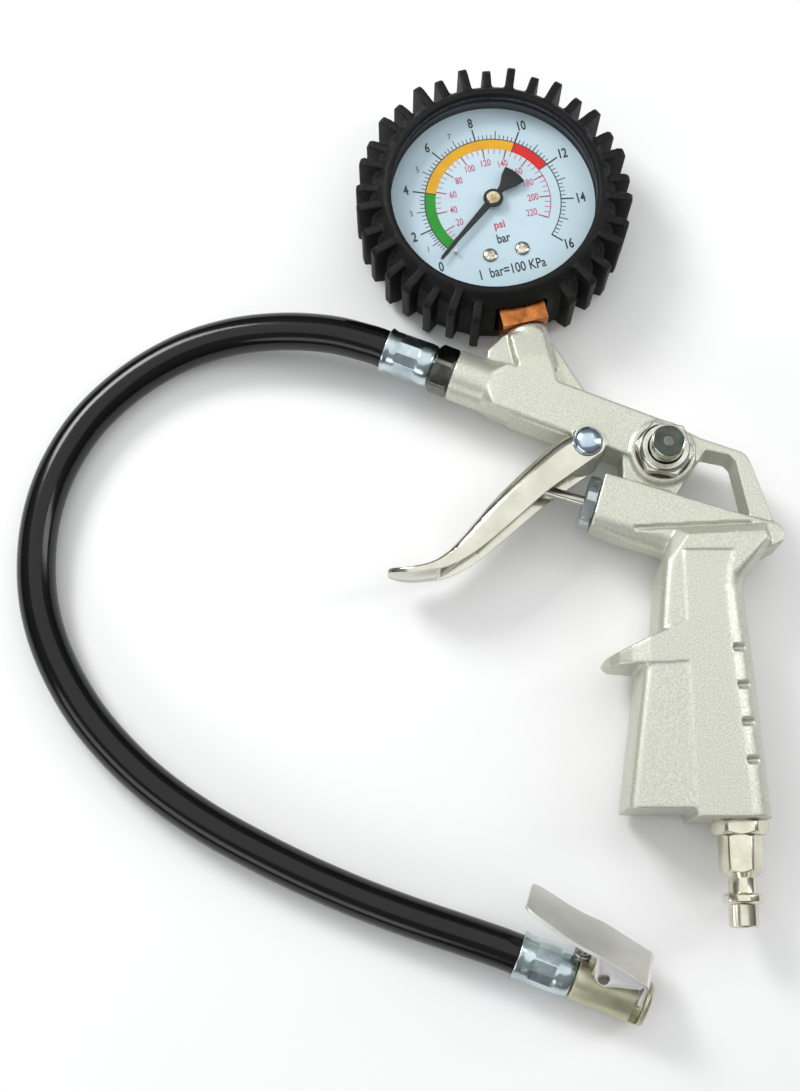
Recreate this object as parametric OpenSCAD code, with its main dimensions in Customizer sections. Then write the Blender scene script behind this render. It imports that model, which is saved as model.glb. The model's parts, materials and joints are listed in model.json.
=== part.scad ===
// Hand-held tyre inflator: die-cast pistol body with a boxed pressure gauge on its barrel,
// a squeeze lever, a bleed button, an air inlet plug under the grip, and a rubber hose
// that ends in a clip-on chuck. It lies on its side on a flat surface at z = 0.
// The handle points to -Y, the hose leaves to -X, and the gauge looks up to +Z.

/* [Gauge] */
// Radius of the window inside the boot's lip
glass_r = 31.2; // [30:0.1:31.6]
// Outer radius of the rubber boot's wall
boot_r = 37.4; // [36:0.1:38]
// Radius to the tips of the boot's lugs
lug_r = 42; // [40:0.1:43]
// Depth of the boot from back to front
boot_depth = 27; // [26:0.5:29]
// Width of one lug
lug_w = 2.6; // [2:0.1:3]
// Lugs in each of the boot's two rows
lug_count = 17; // [15:2:19]
// Angle of the needle at zero pressure
zero_angle = 231; // [225:1:235]

/* [Body] */
// Height of the body's middle plane above the surface
mid_z = 13.5; // [13:0.5:15]
// Outer radius of the barrel's round front end
barrel_r = 7.8; // [7:0.1:8.2]
// Slope of the barrel
barrel_angle = -21.5; // [-23:0.5:-20]
// Thickness of the barrel block
block_t = 16; // [15:0.5:16.5]
// Thickness of the open frame behind the valve
frame_t = 12; // [10:0.5:14]
// Thickness of the grip's front half
grip_t = 23.8; // [22:0.2:24]
// Thickness of the grip's raised panel
panel_t = 24.6; // [24.4:0.2:26]

/* [Trigger] */
// Width of the lever over its cheeks at the pivot
trigger_w = 20.4; // [20:0.1:21]
// Thickness of the lever's plate
trigger_t = 1.4; // [1:0.1:1.6]
// Radius of the rivet's shank
rivet_r = 2; // [1.5:0.1:2.5]

/* [Inlet] */
// Radius of the plug's tip, which a quick coupler seals on
plug_tip_r = 4.15; // [3.8:0.05:4.4]
// Radius of the plug's collar
plug_collar_r = 5.65; // [5:0.05:6]

/* [Hose and chuck] */
// Outer diameter of the hose
hose_d = 11.5; // [10:0.1:11.6]
// Radius of the chuck's body
chuck_r = 6.3; // [6:0.1:6.6]
// Radius of the chuck's mouth, which a tyre valve enters
mouth_r = 4.2; // [4:0.05:4.5]

/* [Hidden] */
$fn = 64;
fit = 0.05;
through = 100;

// Places, in millimetres
gauge_at = [-20.5, 87.6];
stem_angle = -77;
barrel_at = [-32.7, 33.05];
pivot_at = [6, 8.8];
valve_at = [8.7, -7.65];
valve_angle = -17;
bleed_at = [28.2, 6.3];
inlet_x = 46.9;
grip_end_y = -100;
chuck_at = [-16, -136.8, 7.3];
chuck_angle = -21;
chuck_roll = -50;

// Gauge levels above the surface
case_r = 33;
case_top = 21.6;
lens_z = 22.4;
lens_t = 2;
dial_z = 17.6;
dial_t = 0.6;
pointer_z = 20;
stem_start = 41.5;
lug_pitch = 360 / lug_count;
lug_first = 283 - 13.5 * lug_pitch;
lug_free_arc = 14;
bourdon_r = 23.5;
bourdon_start = 12;
bourdon_sweep = 254;
screw_x = 5;
screw_y = -17.1;
pinion_teeth = 10;
sector_full_teeth = 60;
gear_module = 0.28;
gear_z = 10.6;
gear_t = 1.4;
gear_gap = 0.08;
pinion_r = gear_module * pinion_teeth / 2;
sector_r = gear_module * sector_full_teeth / 2;
gear_distance = pinion_r + sector_r + gear_gap;
sector_rest = -21;
sector_tail = 5.4;

// Push pin and valve, measured along the valve's axis from the housing's front
pin_r = 1.6;
pin_tip = -21.7;
pin_end = 14.6;
valve_bore_r = 5.4;
valve_bore_l = 32;

// Bleed valve levels above the surface
boss_top = 22;
bleed_cavity_z = 23.4;
bleed_collar_top = 26.6;
bleed_spring_z = 17.4;
bleed_button_z = 26.1;
bleed_button_top = 32.6;
bleed_button_r = 4.9;
bleed_well_r = bleed_button_r + 0.25;

// Chuck, measured along its own axis from the ferrule's mouth
chuck_end = 38.5;
chuck_body_start = 17;
lever_pivot = [23.6, 0, 8.7];

// Route of the hose's middle line from the body's ferrule to the chuck's ferrule
HOSE_ROUTE = [
    [-53.2, 41.1, 13.5], [-58.0, 43.0, 13.4], [-70.3, 46.4, 12.7], [-85.5, 47.9, 11.1], [-101.0, 46.8, 9.0],
    [-116.4, 42.2, 7.2], [-131.0, 33.4, 6.1], [-143.4, 21.2, 5.8], [-151.7, 7.2, 5.8], [-156.2, -7.3, 5.8],
    [-157.4, -22.6, 5.8], [-155.5, -37.9, 5.8], [-150.0, -53.0, 5.8], [-141.0, -68.0, 5.8], [-130.1, -80.5, 5.8],
    [-118.0, -91.0, 5.8], [-104.1, -100.3, 5.8], [-89.5, -108.2, 5.8], [-75.1, -115.1, 5.8], [-60.6, -121.2, 5.8],
    [-46.2, -126.5, 6.2], [-32.0, -131.2, 6.8], [-21.0, -134.9, 7.2], [-16, -136.8, 7.3]
];
hose_sides = 12;
rings_per_stretch = 2;

// Frames of reference: each turns its child's Z, or the named axis, onto the real one
module in_gauge() translate([gauge_at.x, gauge_at.y, 0]) children();
module in_dial() in_gauge() rotate([0, 0, stem_angle + 90]) children();
module at_stem(r) in_gauge() rotate([0, 0, stem_angle]) translate([r, 0, mid_z]) children();
module along_stem(r) at_stem(r) rotate([0, 90, 0]) children();
module in_barrel() translate([barrel_at.x, barrel_at.y, mid_z]) rotate([0, 0, barrel_angle]) children();
module along_barrel(t) in_barrel() translate([t, 0, 0]) rotate([0, 90, 0]) children();
module in_valve() translate([valve_at.x, valve_at.y, mid_z]) rotate([0, 0, valve_angle]) children();
module along_valve(t) in_valve() translate([t, 0, 0]) rotate([0, 90, 0]) children();
module in_chuck() translate(chuck_at) rotate([0, 0, chuck_angle]) rotate([chuck_roll, 0, 0]) children();
module along_chuck(s) in_chuck() translate([s, 0, 0]) rotate([0, 90, 0]) children();
module down_inlet(y) translate([inlet_x, y, mid_z]) rotate([90, 0, 0]) children();

// Small shapes that repeat
module ring(outer, inner, h) difference() {
    cylinder(r = outer, h = h);
    translate([0, 0, -1]) cylinder(r = inner, h = h + 2);
}
module hexagon(across_flats, h) cylinder(r = across_flats / sqrt(3), h = h, $fn = 6);
module chamfered_hex(across_flats, h, edge) intersection() {
    hexagon(across_flats, h);
    rotate_extrude() polygon([
        [0, 0], [across_flats / 2, 0], [across_flats / 2 + edge, edge],
        [across_flats / 2 + edge, h - edge], [across_flats / 2, h], [0, h]
    ]);
}
module torus(r, wire) rotate_extrude() translate([r, 0]) circle(r = wire, $fn = 24);

// Sweeps a round section along a list of points, closed at both ends
function unit(v) = v / norm(v);
function heading(p, i) = unit(p[min(i + 1, len(p) - 1)] - p[max(i - 1, 0)]);
function sideways(t) = unit(cross(t, abs(t.z) < 0.9 ? [0, 0, 1] : [1, 0, 0]));
function ring_points(c, t, r, n) = [
    for (k = [0 : n - 1]) c + r * (cos(360 * k / n) * sideways(t) + sin(360 * k / n) * cross(t, sideways(t)))
];
module swept(p, r, n) {
    m = len(p);
    points = [for (i = [0 : m - 1]) each ring_points(p[i], heading(p, i), r, n)];
    walls = [for (i = [0 : m - 2], k = [0 : n - 1]) each [
        [i * n + k, (i + 1) * n + k, i * n + (k + 1) % n],
        [i * n + (k + 1) % n, (i + 1) * n + k, (i + 1) * n + (k + 1) % n]
    ]];
    start_cap = [for (k = [1 : n - 2]) [0, k, k + 1]];
    end_cap = [for (k = [1 : n - 2]) [(m - 1) * n, (m - 1) * n + k + 1, (m - 1) * n + k]];
    polyhedron(points = points, faces = concat(walls, start_cap, end_cap), convexity = 10);
}
// Catmull-Rom curve through the route's points
function curve_at(p, i, u) = let (
    a = p[max(i - 1, 0)], b = p[i], c = p[i + 1], d = p[min(i + 2, len(p) - 1)]
) 0.5 * (2 * b + (c - a) * u + (2 * a - 5 * b + 4 * c - d) * u * u + (3 * b - a - 3 * c + d) * u * u * u);
function smooth_route(p, steps) = [
    for (i = [0 : len(p) - 2], j = [0 : steps - 1]) curve_at(p, i, j / steps), p[len(p) - 1]
];
// Compression spring standing on z = 0, with closed ends
module coil_spring(r, wire, height, turns, per_turn = 14) {
    steps = turns * per_turn;
    swept([for (i = [0 : steps]) let (u = i / steps)
        [r * cos(turns * 360 * u), r * sin(turns * 360 * u), wire + (height - 2 * wire) * u]], wire, 6);
}

// ---- Body ----
module barrel_block() {
    along_barrel(0) cylinder(r = barrel_r, h = 20);
    hull() {
        along_barrel(10.6) cylinder(r = barrel_r - 0.05, h = 0.1);
        in_barrel() translate([15, -6.9, -block_t / 2]) cube([50.7, 13.8, block_t]);
    }
    in_barrel() translate([20, -8, -frame_t / 2]) cube([24, 4, frame_t]);
}
module stem_boss() {
    along_stem(stem_start) cylinder(r1 = 6.1, r2 = 6.8, h = 1);
    along_stem(stem_start + 1) cylinder(r = 6.8, h = 14);
    translate([0, 0, mid_z - 3.5]) linear_extrude(7)
        polygon([[-22.5, 40], [-17.8, 44.6], [-8, 44], [-8, 30], [-24, 30]]);
    translate([0, 0, mid_z - 2.5]) linear_extrude(5)
        polygon([[-8, 46], [-4.6, 45.4], [6.6, 27], [-2, 25]]);
    hull() {
        translate([0, 0, mid_z - block_t / 2]) linear_extrude(block_t)
            polygon([[-14.6, 36], [-12.6, 31], [-2.8, 26], [-2, 27.6], [-4.4, 36]]);
        translate([0, 0, mid_z - 6.6]) linear_extrude(13.2) polygon([[-16.2, 43.6], [-8, 46], [-6, 45.2]]);
    }
}
module rear_frame() translate([0, 0, mid_z - frame_t / 2]) linear_extrude(frame_t) difference() {
    polygon([
        [16.4, -6], [16.4, 8], [22, 16], [33.8, 14.4], [40, 11.2], [51.4, 7.2], [53, 6], [54.2, 3.8],
        [60, -14], [62, -16], [62.4, -18], [62.2, -20.6], [55.6, -23.8], [50, -24], [30, -16], [20, -8]
    ]);
    polygon([[41, 7.4], [48, 5.9], [49.6, 4.2], [53.2, -13.5], [31.4, -7]]);
}
module bleed_boss() translate([bleed_at.x, bleed_at.y, 4]) cylinder(r = 9.6, h = boss_top - 4);
module valve_housing() intersection() {
    translate([0, 0, mid_z - 8.4]) linear_extrude(16.8) polygon([
        [11.3, 0.6], [6.6, -15.2], [25.4, -23.2], [27.4, -25.2], [30, -30], [50, -31], [50.8, -28.6], [52.6, -26.2],
        [55.6, -23.8], [62.2, -20.6], [62.4, -17.6], [61, -15.4], [53, -13.2], [33, -7]
    ]);
    in_valve() rotate([90, 0, 90]) translate([0, 0, -10]) linear_extrude(80) {
        translate([-40, -8.2]) square([48, 16.4]);
        translate([-9.4, -3.4]) square([10, 6.8]);
        for (side = [-1, 1]) translate([-5, side * 3.4]) circle(r = 5);
    }
}
module valve_housing_round() intersection() {
    valve_housing();
    union() {
        in_valve() rotate([90, 0, 90]) translate([0, 0, -5]) linear_extrude(34) {
            translate([-3.6, -8.2]) square([11.8, 16.4]);
            for (side = [-1, 1]) translate([-3.8, side * 2.8]) circle(r = 5.4);
            translate([-9.2, -2.8]) square([6, 5.6]);
        }
        in_valve() translate([24, -30, -9]) cube([60, 60, 18]);
    }
}
// A thin slice of the grip, from its front to its rear, with a rounded front and back
module grip_slice(y, front, rear, half, nose) translate([0, y, mid_z]) rotate([90, 0, 0]) linear_extrude(0.1)
    for (side = [-1, 1]) {
        translate([front + nose, side * (half - nose)]) circle(r = nose, $fn = 32);
        translate([rear - 8, side * (half - 8)]) circle(r = 8, $fn = 32);
    }
module grip() {
    // Fairing from the housing's side onto the grip
    hull() {
        translate([0, 0, mid_z - 8.3]) linear_extrude(16.6)
            polygon([[31, -17], [57, -15.6], [58.6, -20.6], [53, -25], [31, -25.4]]);
        translate([0, 0, mid_z - 11.4]) linear_extrude(22.8)
            polygon([[34.5, -19.2], [56, -18], [56.4, -20.6], [52, -25], [34.5, -26]]);
        grip_slice(-27, 26.6, 51, grip_t / 2, 3.5);
        grip_slice(-33, 25.8, 50, grip_t / 2, 3.5);
    }
    hull() {
        grip_slice(-32, 25.9, 50, grip_t / 2, 3.5);
        grip_slice(-56, 23.4, 52, grip_t / 2, 3.5);
    }
    hull() {
        grip_slice(-55, 19.9, 52, grip_t / 2, 3.5);
        grip_slice(-97.6, 13.8, 55, grip_t / 2, 3.5);
    }
    hull() {
        grip_slice(-24.2, 32.4, 52.4, panel_t / 2, 0.4);
        grip_slice(-34, 32.4, 50.1, panel_t / 2, 0.4);
    }
    hull() {
        grip_slice(-33.9, 32.4, 50.1, panel_t / 2, 0.4);
        grip_slice(grip_end_y, 33.2, 55.1, panel_t / 2, 0.4);
    }
    finger_rest();
}
module finger_rest() intersection() {
    translate([0, 0, mid_z - panel_t / 2]) linear_extrude(panel_t) polygon([
        [33, -44.6], [25, -48], [10.4, -54.4], [9, -55.6], [9.2, -56.6], [11, -57.2], [20, -57], [33, -56.2]
    ]);
    translate([0, -40, mid_z]) rotate([90, 0, 0]) linear_extrude(20) polygon([
        [40, -12.3], [22, -12.3], [17, -10.8], [13.2, -8.4], [10.6, -5.6], [9, -2.6],
        [9, 2.6], [10.6, 5.6], [13.2, 8.4], [17, 10.8], [22, 12.3], [40, 12.3]
    ]);
}
module casting_bores() {
    along_barrel(-1) cylinder(r = 5, h = 12);
    along_barrel(0) cylinder(r = 2.5, h = 64);
    along_stem(stem_start - 1) cylinder(r = 4.9, h = 11.5);
    along_stem(stem_start) cylinder(r = 2, h = 16);
    along_valve(-3) cylinder(r = valve_bore_r, h = valve_bore_l + 3);
    along_valve(0) cylinder(r = 2.5, h = 40);
    translate([22, -11, mid_z]) rotate([-90, 0, 0]) cylinder(r = 2, h = 22);
    translate([bleed_at.x, bleed_at.y, mid_z - 4.6]) cylinder(r = 3.6, h = 22);
    down_inlet(-88) cylinder(r = 5, h = 20);
    down_inlet(-19.5) cylinder(r = 3, h = 70);
    translate([pivot_at.x, pivot_at.y, -1]) cylinder(r = rivet_r + fit, h = through);
}
module grip_notches() for (i = [0 : 3], top = [0, 1]) translate([45.1 + 0.8 * i, -52.6 - 10.6 * i, mid_z])
    mirror([0, 0, top]) rotate([0, 0, 3]) translate([0, -0.9, panel_t / 2 - 2.4]) cube([14, 1.8, 6]);
module gun_casting() color("#c8cdbe") difference() {
    union() {
        barrel_block();
        stem_boss();
        rear_frame();
        bleed_boss();
        valve_housing_round();
        grip();
        translate([pivot_at.x, pivot_at.y, mid_z - 8.4]) cylinder(r = 5.2, h = 16.8);
    }
    casting_bores();
    grip_notches();
    // Underside step ahead of the inlet
    translate([5, grip_end_y - 5, -1]) cube([28.2, 7.2, 40]);
    // Shallow groove along the valve housing
    for (side = [0, 1]) translate([0, 0, mid_z]) mirror([0, 0, side]) translate([0, 0, 7.2])
        linear_extrude(5) polygon([[19, -16], [19, -17.4], [53, -15.8], [53.4, -14.4]]);
}

// ---- Gauge ----
lug_side = [
    [33.4, 26.4], [34.4, 26.9], [lug_r - 1.4, 26.4], [lug_r, 25], [lug_r, 5.5],
    [boot_r + 1, 2.6], [boot_r - 2, 2.6], [34.5, 22]
];
module lug(angle, drop) rotate([0, 0, angle]) rotate([90, 0, 0]) translate([0, -drop, -lug_w / 2])
    linear_extrude(lug_w) polygon(lug_side);
// Lugs near the stem are left out, to clear the body's boss
module boot_lugs() for (i = [0 : lug_count - 1]) {
    front = lug_first + lug_pitch * i;
    back = front + lug_pitch / 2;
    if (abs(front - 360 - stem_angle) > lug_free_arc) lug(front, 0);
    if (abs(back - 360 - stem_angle) > lug_free_arc) lug(back, 2.5);
}
module gauge_boot() color("#1d1e1c") in_gauge() difference() {
    union() {
        rotate_extrude(angle = 360, $fn = 96) polygon([
            [case_r + 0.1, 1.6], [28, 1.6], [28, 0], [boot_r - 1, 0], [boot_r, 1], [boot_r, boot_depth - 13],
            [boot_r - 0.5, boot_depth - 7], [boot_r - 1.5, boot_depth - 3.6], [case_r + 0.8, boot_depth - 0.5],
            [case_r, boot_depth], [glass_r + 0.8, boot_depth], [glass_r, boot_depth - 0.8],
            [glass_r, boot_depth - 1.6], [case_r + 0.1, boot_depth - 1.6]
        ]);
        boot_lugs();
    }
    rotate([0, 0, stem_angle]) translate([30, -7.7, mid_z - 7.7]) cube([20, 15.4, 15.4]);
}
module gauge_case() color("#2a2c2e") in_gauge() difference() {
    translate([0, 0, 1.65]) cylinder(r = case_r, h = case_top - 1.65, $fn = 96);
    translate([0, 0, 2.8]) cylinder(r = case_r - 1, h = 30, $fn = 96);
    rotate([0, 0, stem_angle]) translate([25, -6.1, mid_z - 6.1]) cube([20, 12.2, 12.2]);
}
module lens_gasket() color("#202020") in_gauge() translate([0, 0, case_top])
    ring(case_r - 0.1, case_r - 1.6, lens_z - case_top);
module gauge_lens() color("#dfe8ea", 0.35) in_gauge() translate([0, 0, lens_z])
    cylinder(r = case_r - 0.8, h = lens_t, $fn = 96);
module gauge_bezel() color("#3a4350") in_gauge() rotate_extrude($fn = 96) polygon([
    [case_r - 0.75, lens_z], [case_r, lens_z], [case_r, lens_z + lens_t + 0.9],
    [case_r - 1.5, lens_z + lens_t + 0.9],
    [case_r - 1.7, lens_z + lens_t + 0.05], [case_r - 0.75, lens_z + lens_t + 0.05]
]);
module gauge_socket() color("#b5793f") difference() {
    union() {
        at_stem(17.5) translate([0, -5.9, -5.9]) cube([15.6, 11.8, 7.4]);
        at_stem(28) translate([0, -5.9, -5.9]) cube([5.2, 11.8, 10]);
        at_stem(33.2) translate([0, -7, -7]) cube([stem_start - 33.3, 14, 14]);
        along_stem(33.2) cylinder(r = 4.85, h = 17);
    }
    along_stem(24.6) cylinder(r = 1.6, h = 40);
    bourdon_coil();
}
module dial_plate() color("#dfe9ee") in_dial() translate([0, 0, dial_z]) difference() {
    cylinder(r = 31.4, h = dial_t, $fn = 96);
    translate([0, 0, -1]) cylinder(r = 1.6, h = 3);
    for (x = [-screw_x, screw_x]) translate([x, screw_y, -1]) cylinder(r = 1.25, h = 3);
    rotate([0, 0, zero_angle - stem_angle - 90 + 5]) translate([20.6, 0, -1]) cylinder(r = 0.5, h = 3);
}
module dial_screws() color("#c9cbc5") in_dial()
    for (x = [-screw_x, screw_x]) translate([x, screw_y, 0]) difference() {
    union() {
        translate([0, 0, dial_z + dial_t]) cylinder(r1 = 2.2, r2 = 1.7, h = 1);
        translate([0, 0, 15.1]) cylinder(r = 1.2, h = dial_z + dial_t - 15);
    }
    translate([-3, -0.3, dial_z + dial_t + 0.6]) cube([6, 0.6, 2]);
}
module stop_pin() color("#b9bcb6") in_gauge() rotate([0, 0, zero_angle + 5]) translate([20.6, 0, dial_z - 0.8])
    cylinder(r = 0.45, h = 3.6);
// The tube runs clockwise from the socket to its free tip, which a link joins to the sector's tail
module bourdon_coil() in_gauge() rotate([0, 0, stem_angle - bourdon_start - bourdon_sweep])
    rotate_extrude(angle = bourdon_sweep, $fn = 96) translate([bourdon_r, mid_z - 4]) {
        translate([-0.5, -3.2]) square([1, 6.4]);
        translate([-1.1, -2.4]) square([2.2, 4.8]);
    }
module bourdon_tube() color("#b98a4a") {
    bourdon_coil();
    in_gauge() rotate([0, 0, stem_angle - bourdon_start - bourdon_sweep])
        translate([bourdon_r - 1.6, -3.4, mid_z - 6.4]) cube([3.2, 3.4, 4.8]);
}
module movement_outline(grow) {
    translate([-7 - grow, -21]) square([14 + 2 * grow, 24]);
    translate([0, 3]) circle(r = 7 + grow);
}
module movement_plates() color("#c2a45e") in_dial() difference() {
    union() {
        translate([0, 0, 7]) linear_extrude(1) movement_outline(0);
        translate([0, 0, 15]) linear_extrude(1) movement_outline(0);
    }
    translate([0, 0, 6.9]) cylinder(r = 0.75 + fit, h = 12);
    translate([0, -gear_distance, 6.9]) cylinder(r = 0.75 + fit, h = 12);
    for (x = [-screw_x, screw_x]) translate([x, screw_y, 14]) cylinder(r = 1.25, h = 3);
    translate([-8, -22, 6.9]) cube([16, 4.5, 1.2]);
}
module movement_pillars() color("#c2a45e") in_dial() for (x = [-5.6, 5.6]) translate([x, 5.4, 8])
    cylinder(r = 1.1, h = 7);
// Straight-sided gear teeth: thin enough to turn freely against each other
function tooth(r_pitch, angle, w, half) = [
    (r_pitch - w) * [cos(angle - 1.25 * half), sin(angle - 1.25 * half)],
    (r_pitch + w) * [cos(angle - 0.6 * half), sin(angle - 0.6 * half)],
    (r_pitch + w) * [cos(angle + 0.6 * half), sin(angle + 0.6 * half)],
    (r_pitch - w) * [cos(angle + 1.25 * half), sin(angle + 1.25 * half)]
];
module gear_sector(r_pitch, full_teeth, first, last, start) polygon([
    [0, 0], for (k = [first : last]) each tooth(r_pitch, start + 360 * k / full_teeth, gear_module * 0.75, 70 / full_teeth)
]);
module pinion_arbor() color("#c9b27a") in_dial() {
    translate([0, 0, 6.9]) cylinder(r = 0.75, h = pointer_z - 6.9);
    translate([0, 0, gear_z - 0.3]) linear_extrude(gear_t + 0.6)
        gear_sector(pinion_r, pinion_teeth, 0, pinion_teeth - 1, 90 + 180 / pinion_teeth);
}
module at_tail() in_dial() translate([0, -gear_distance, 0]) rotate([0, 0, sector_rest])
    translate([0, -sector_tail, 0]) children();
module sector_gear() color("#c2a45e") difference() {
    union() {
        in_dial() translate([0, -gear_distance, 6.9]) cylinder(r = 0.75, h = 9.2);
        in_dial() translate([0, -gear_distance, gear_z]) linear_extrude(gear_t) rotate([0, 0, sector_rest]) {
            gear_sector(sector_r, sector_full_teeth, -5, 4, 90 + 180 / sector_full_teeth);
            circle(r = 1.6);
            translate([-0.9, -sector_tail]) square([1.8, sector_tail]);
            translate([0, -sector_tail]) circle(r = 1.3);
        }
    }
    at_tail() cylinder(r = 0.5, h = 20);
}
module movement_link() color("#b98a4a") at_tail() translate([0, 0, gear_z + gear_t + 0.2]) {
    linear_extrude(0.6) rotate([0, 0, 30.4 - sector_rest]) {
        circle(r = 1.1);
        translate([0, -0.6]) square([29.5, 1.2]);
        translate([29.5, 0]) circle(r = 1.2);
    }
    translate([0, 0, -1.6]) cylinder(r = 0.45, h = 1.7);
}
module hairspring() color("#d8c48a") in_dial() translate([0, 0, 13.6])
    swept([for (i = [0 : 90]) let (a = i * 16, r = 1.2 + 3.2 * i / 90) [r * cos(a), r * sin(a), 0]], 0.16, 4);
module pointer() color("#17181a") in_gauge() rotate([0, 0, zero_angle]) translate([0, 0, pointer_z])
    linear_extrude(0.5) difference() {
        union() {
            polygon([[0, -1.4], [0, 1.4], [25.4, 0.35], [25.8, 0], [25.4, -0.35]]);
            circle(r = 2.6);
            polygon([[0, -0.9], [0, 0.9], [-5, 1.2], [-9.6, 4], [-10.4, 0], [-9.6, -4], [-5, -1.2]]);
        }
        circle(r = 0.75);
    }
module pointer_hub() color("#c8b87e") in_gauge() translate([0, 0, pointer_z + 0.5]) {
    cylinder(r = 2.9, h = 0.5);
    translate([0, 0, 0.5]) cylinder(r1 = 2.2, r2 = 1.6, h = 0.6);
}

// ---- Trigger and valve ----
trigger_under = [
    [9.6, 5.4], [1.8, -0.2], [-5.6, -5.5], [-11.5, -10.6], [-20.2, -18.2], [-27.5, -24], [-34.7, -27.9],
    [-40.4, -29], [-46, -29.6], [-51.4, -29.2], [-52.7, -28.5]
];
trigger_over = [
    [-52, -27.7], [-46.1, -27.9], [-40.4, -26.7], [-36.1, -24.2], [-31.7, -19.8], [-20.1, -6.3], [-4.4, 8.5], [2.4, 12.6]
];
trigger_inside = [[-36.6, -26.4], [-30.7, -20.8], [-19.1, -7.3], [-3.4, 7.5]];
trigger_side = concat(smooth_route(trigger_under, 3), smooth_route(trigger_over, 4));
trigger_hollow = concat(smooth_route(trigger_inside, 4), [[-5.6, 9.8], [2, 18], [20, 20], [20, -10], [-34, -40]]);
module lever_plan(half) polygon([
    [20, -half], [-2, -half], [-36, -half + 1.8], [-45, -half + 2.8], [-50, -half + 5], [-52.8, -half + 8],
    [-52.8, half - 8], [-50, half - 5], [-45, half - 2.8], [-36, half - 1.8], [-2, half], [20, half]
]);
module from_the_side(half) translate([0, 0, mid_z]) rotate([-90, 0, 0]) translate([0, 0, -60]) linear_extrude(100)
    lever_plan(half);
module trigger_lever() color("#d5d3c4") difference() {
    intersection() {
        translate([0, 0, -5]) linear_extrude(40) union() {
            polygon(trigger_side);
            translate(pivot_at) circle(r = 5);
        }
        from_the_side(trigger_w / 2);
    }
    intersection() {
        translate([0, 0, -5]) linear_extrude(40) polygon(trigger_hollow);
        from_the_side(trigger_w / 2 - trigger_t);
    }
    translate([pivot_at.x, pivot_at.y, -1]) cylinder(r = rivet_r + fit, h = 40);
}
module dome(r, h) intersection() {
    translate([0, 0, h - (r * r + h * h) / (2 * h)]) sphere(r = (r * r + h * h) / (2 * h));
    cylinder(r = r, h = h);
}
module trigger_rivet() color("#b9c3cc") translate([pivot_at.x, pivot_at.y, mid_z]) {
    translate([0, 0, -trigger_w / 2 - 0.2]) cylinder(r = rivet_r, h = trigger_w + 0.4);
    for (side = [0, 1]) mirror([0, 0, side]) translate([0, 0, trigger_w / 2 + 0.15]) dome(4.5, 2.7);
}
module push_pin() color("#c9cbc6") {
    along_valve(pin_tip + 0.8) cylinder(r = pin_r, h = pin_end - pin_tip - 0.8);
    along_valve(pin_tip) cylinder(r1 = pin_r - 0.7, r2 = pin_r, h = 0.8);
}
module packing_nut() color("#a9b3bb") difference() {
    along_valve(-3.6) chamfered_hex(15.2, 3.5, 0.5);
    along_valve(-4.6) cylinder(r = pin_r + 0.3, h = 8);
}
module pin_seal() color("#202020") along_valve(1.4) torus(3.1, 1.2);
module guide_bush() color("#c2a45e") along_valve(3.2) ring(valve_bore_r - 0.1, pin_r + 0.06, 6);
module valve_seat() color("#c2a45e") along_valve(9.4) ring(valve_bore_r - 0.1, 2.9, 3);
module valve_poppet() color("#2a2a2a") along_valve(12.6) difference() {
    cylinder(r1 = 3.6, r2 = 4.2, h = 3);
    translate([0, 0, -1]) cylinder(r = pin_r, h = 3);
}
module valve_spring() color("#b8bab4") along_valve(15.8) coil_spring(3.4, 0.4, 16, 6);

// ---- Bleed valve ----
module at_bleed(z) translate([bleed_at.x, bleed_at.y, z]) children();
module bleed_washer() color("#7a3b2a") at_bleed(boss_top) ring(8.3, 3.65, 0.6);
module bleed_body() color("#c4c8c0") difference() {
    union() {
        at_bleed(boss_top + 0.6) rotate([0, 0, 51]) chamfered_hex(15.4, 2.8, 0.6);
        at_bleed(boss_top + 3.3) cylinder(r1 = 7.5, r2 = 6.9, h = bleed_collar_top - boss_top - 3.3);
        at_bleed(15.4) cylinder(r = 3.5, h = 7.6);
    }
    at_bleed(bleed_cavity_z) cylinder(r = bleed_well_r, h = 10);
    at_bleed(bleed_spring_z) cylinder(r = 2.7, h = 10);
    at_bleed(10) cylinder(r = 1.55, h = 20);
}
module bleed_button() color("#2a2b28") difference() {
    at_bleed(bleed_button_z) rotate_extrude() polygon([
        [0, 0], [bleed_button_r, 0], [bleed_button_r, bleed_button_top - bleed_button_z - 0.5],
        [bleed_button_r - 0.5, bleed_button_top - bleed_button_z], [0, bleed_button_top - bleed_button_z]
    ]);
    at_bleed(bleed_button_z - 1) cylinder(r = 1.5, h = 20);
}
module bleed_stem() color("#b9bcb4") at_bleed(13.6) cylinder(r = 1.5, h = bleed_button_top - 13.6 - 0.3);
module bleed_seal() color("#202020") at_bleed(12.2) difference() {
    cylinder(r = 2.9, h = 3.1);
    translate([0, 0, 1.4]) cylinder(r = 1.5, h = 4);
}
module bleed_spring() color("#b8bab4") at_bleed(bleed_spring_z)
    coil_spring(2.2, 0.3, bleed_button_z - bleed_spring_z, 6);

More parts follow.
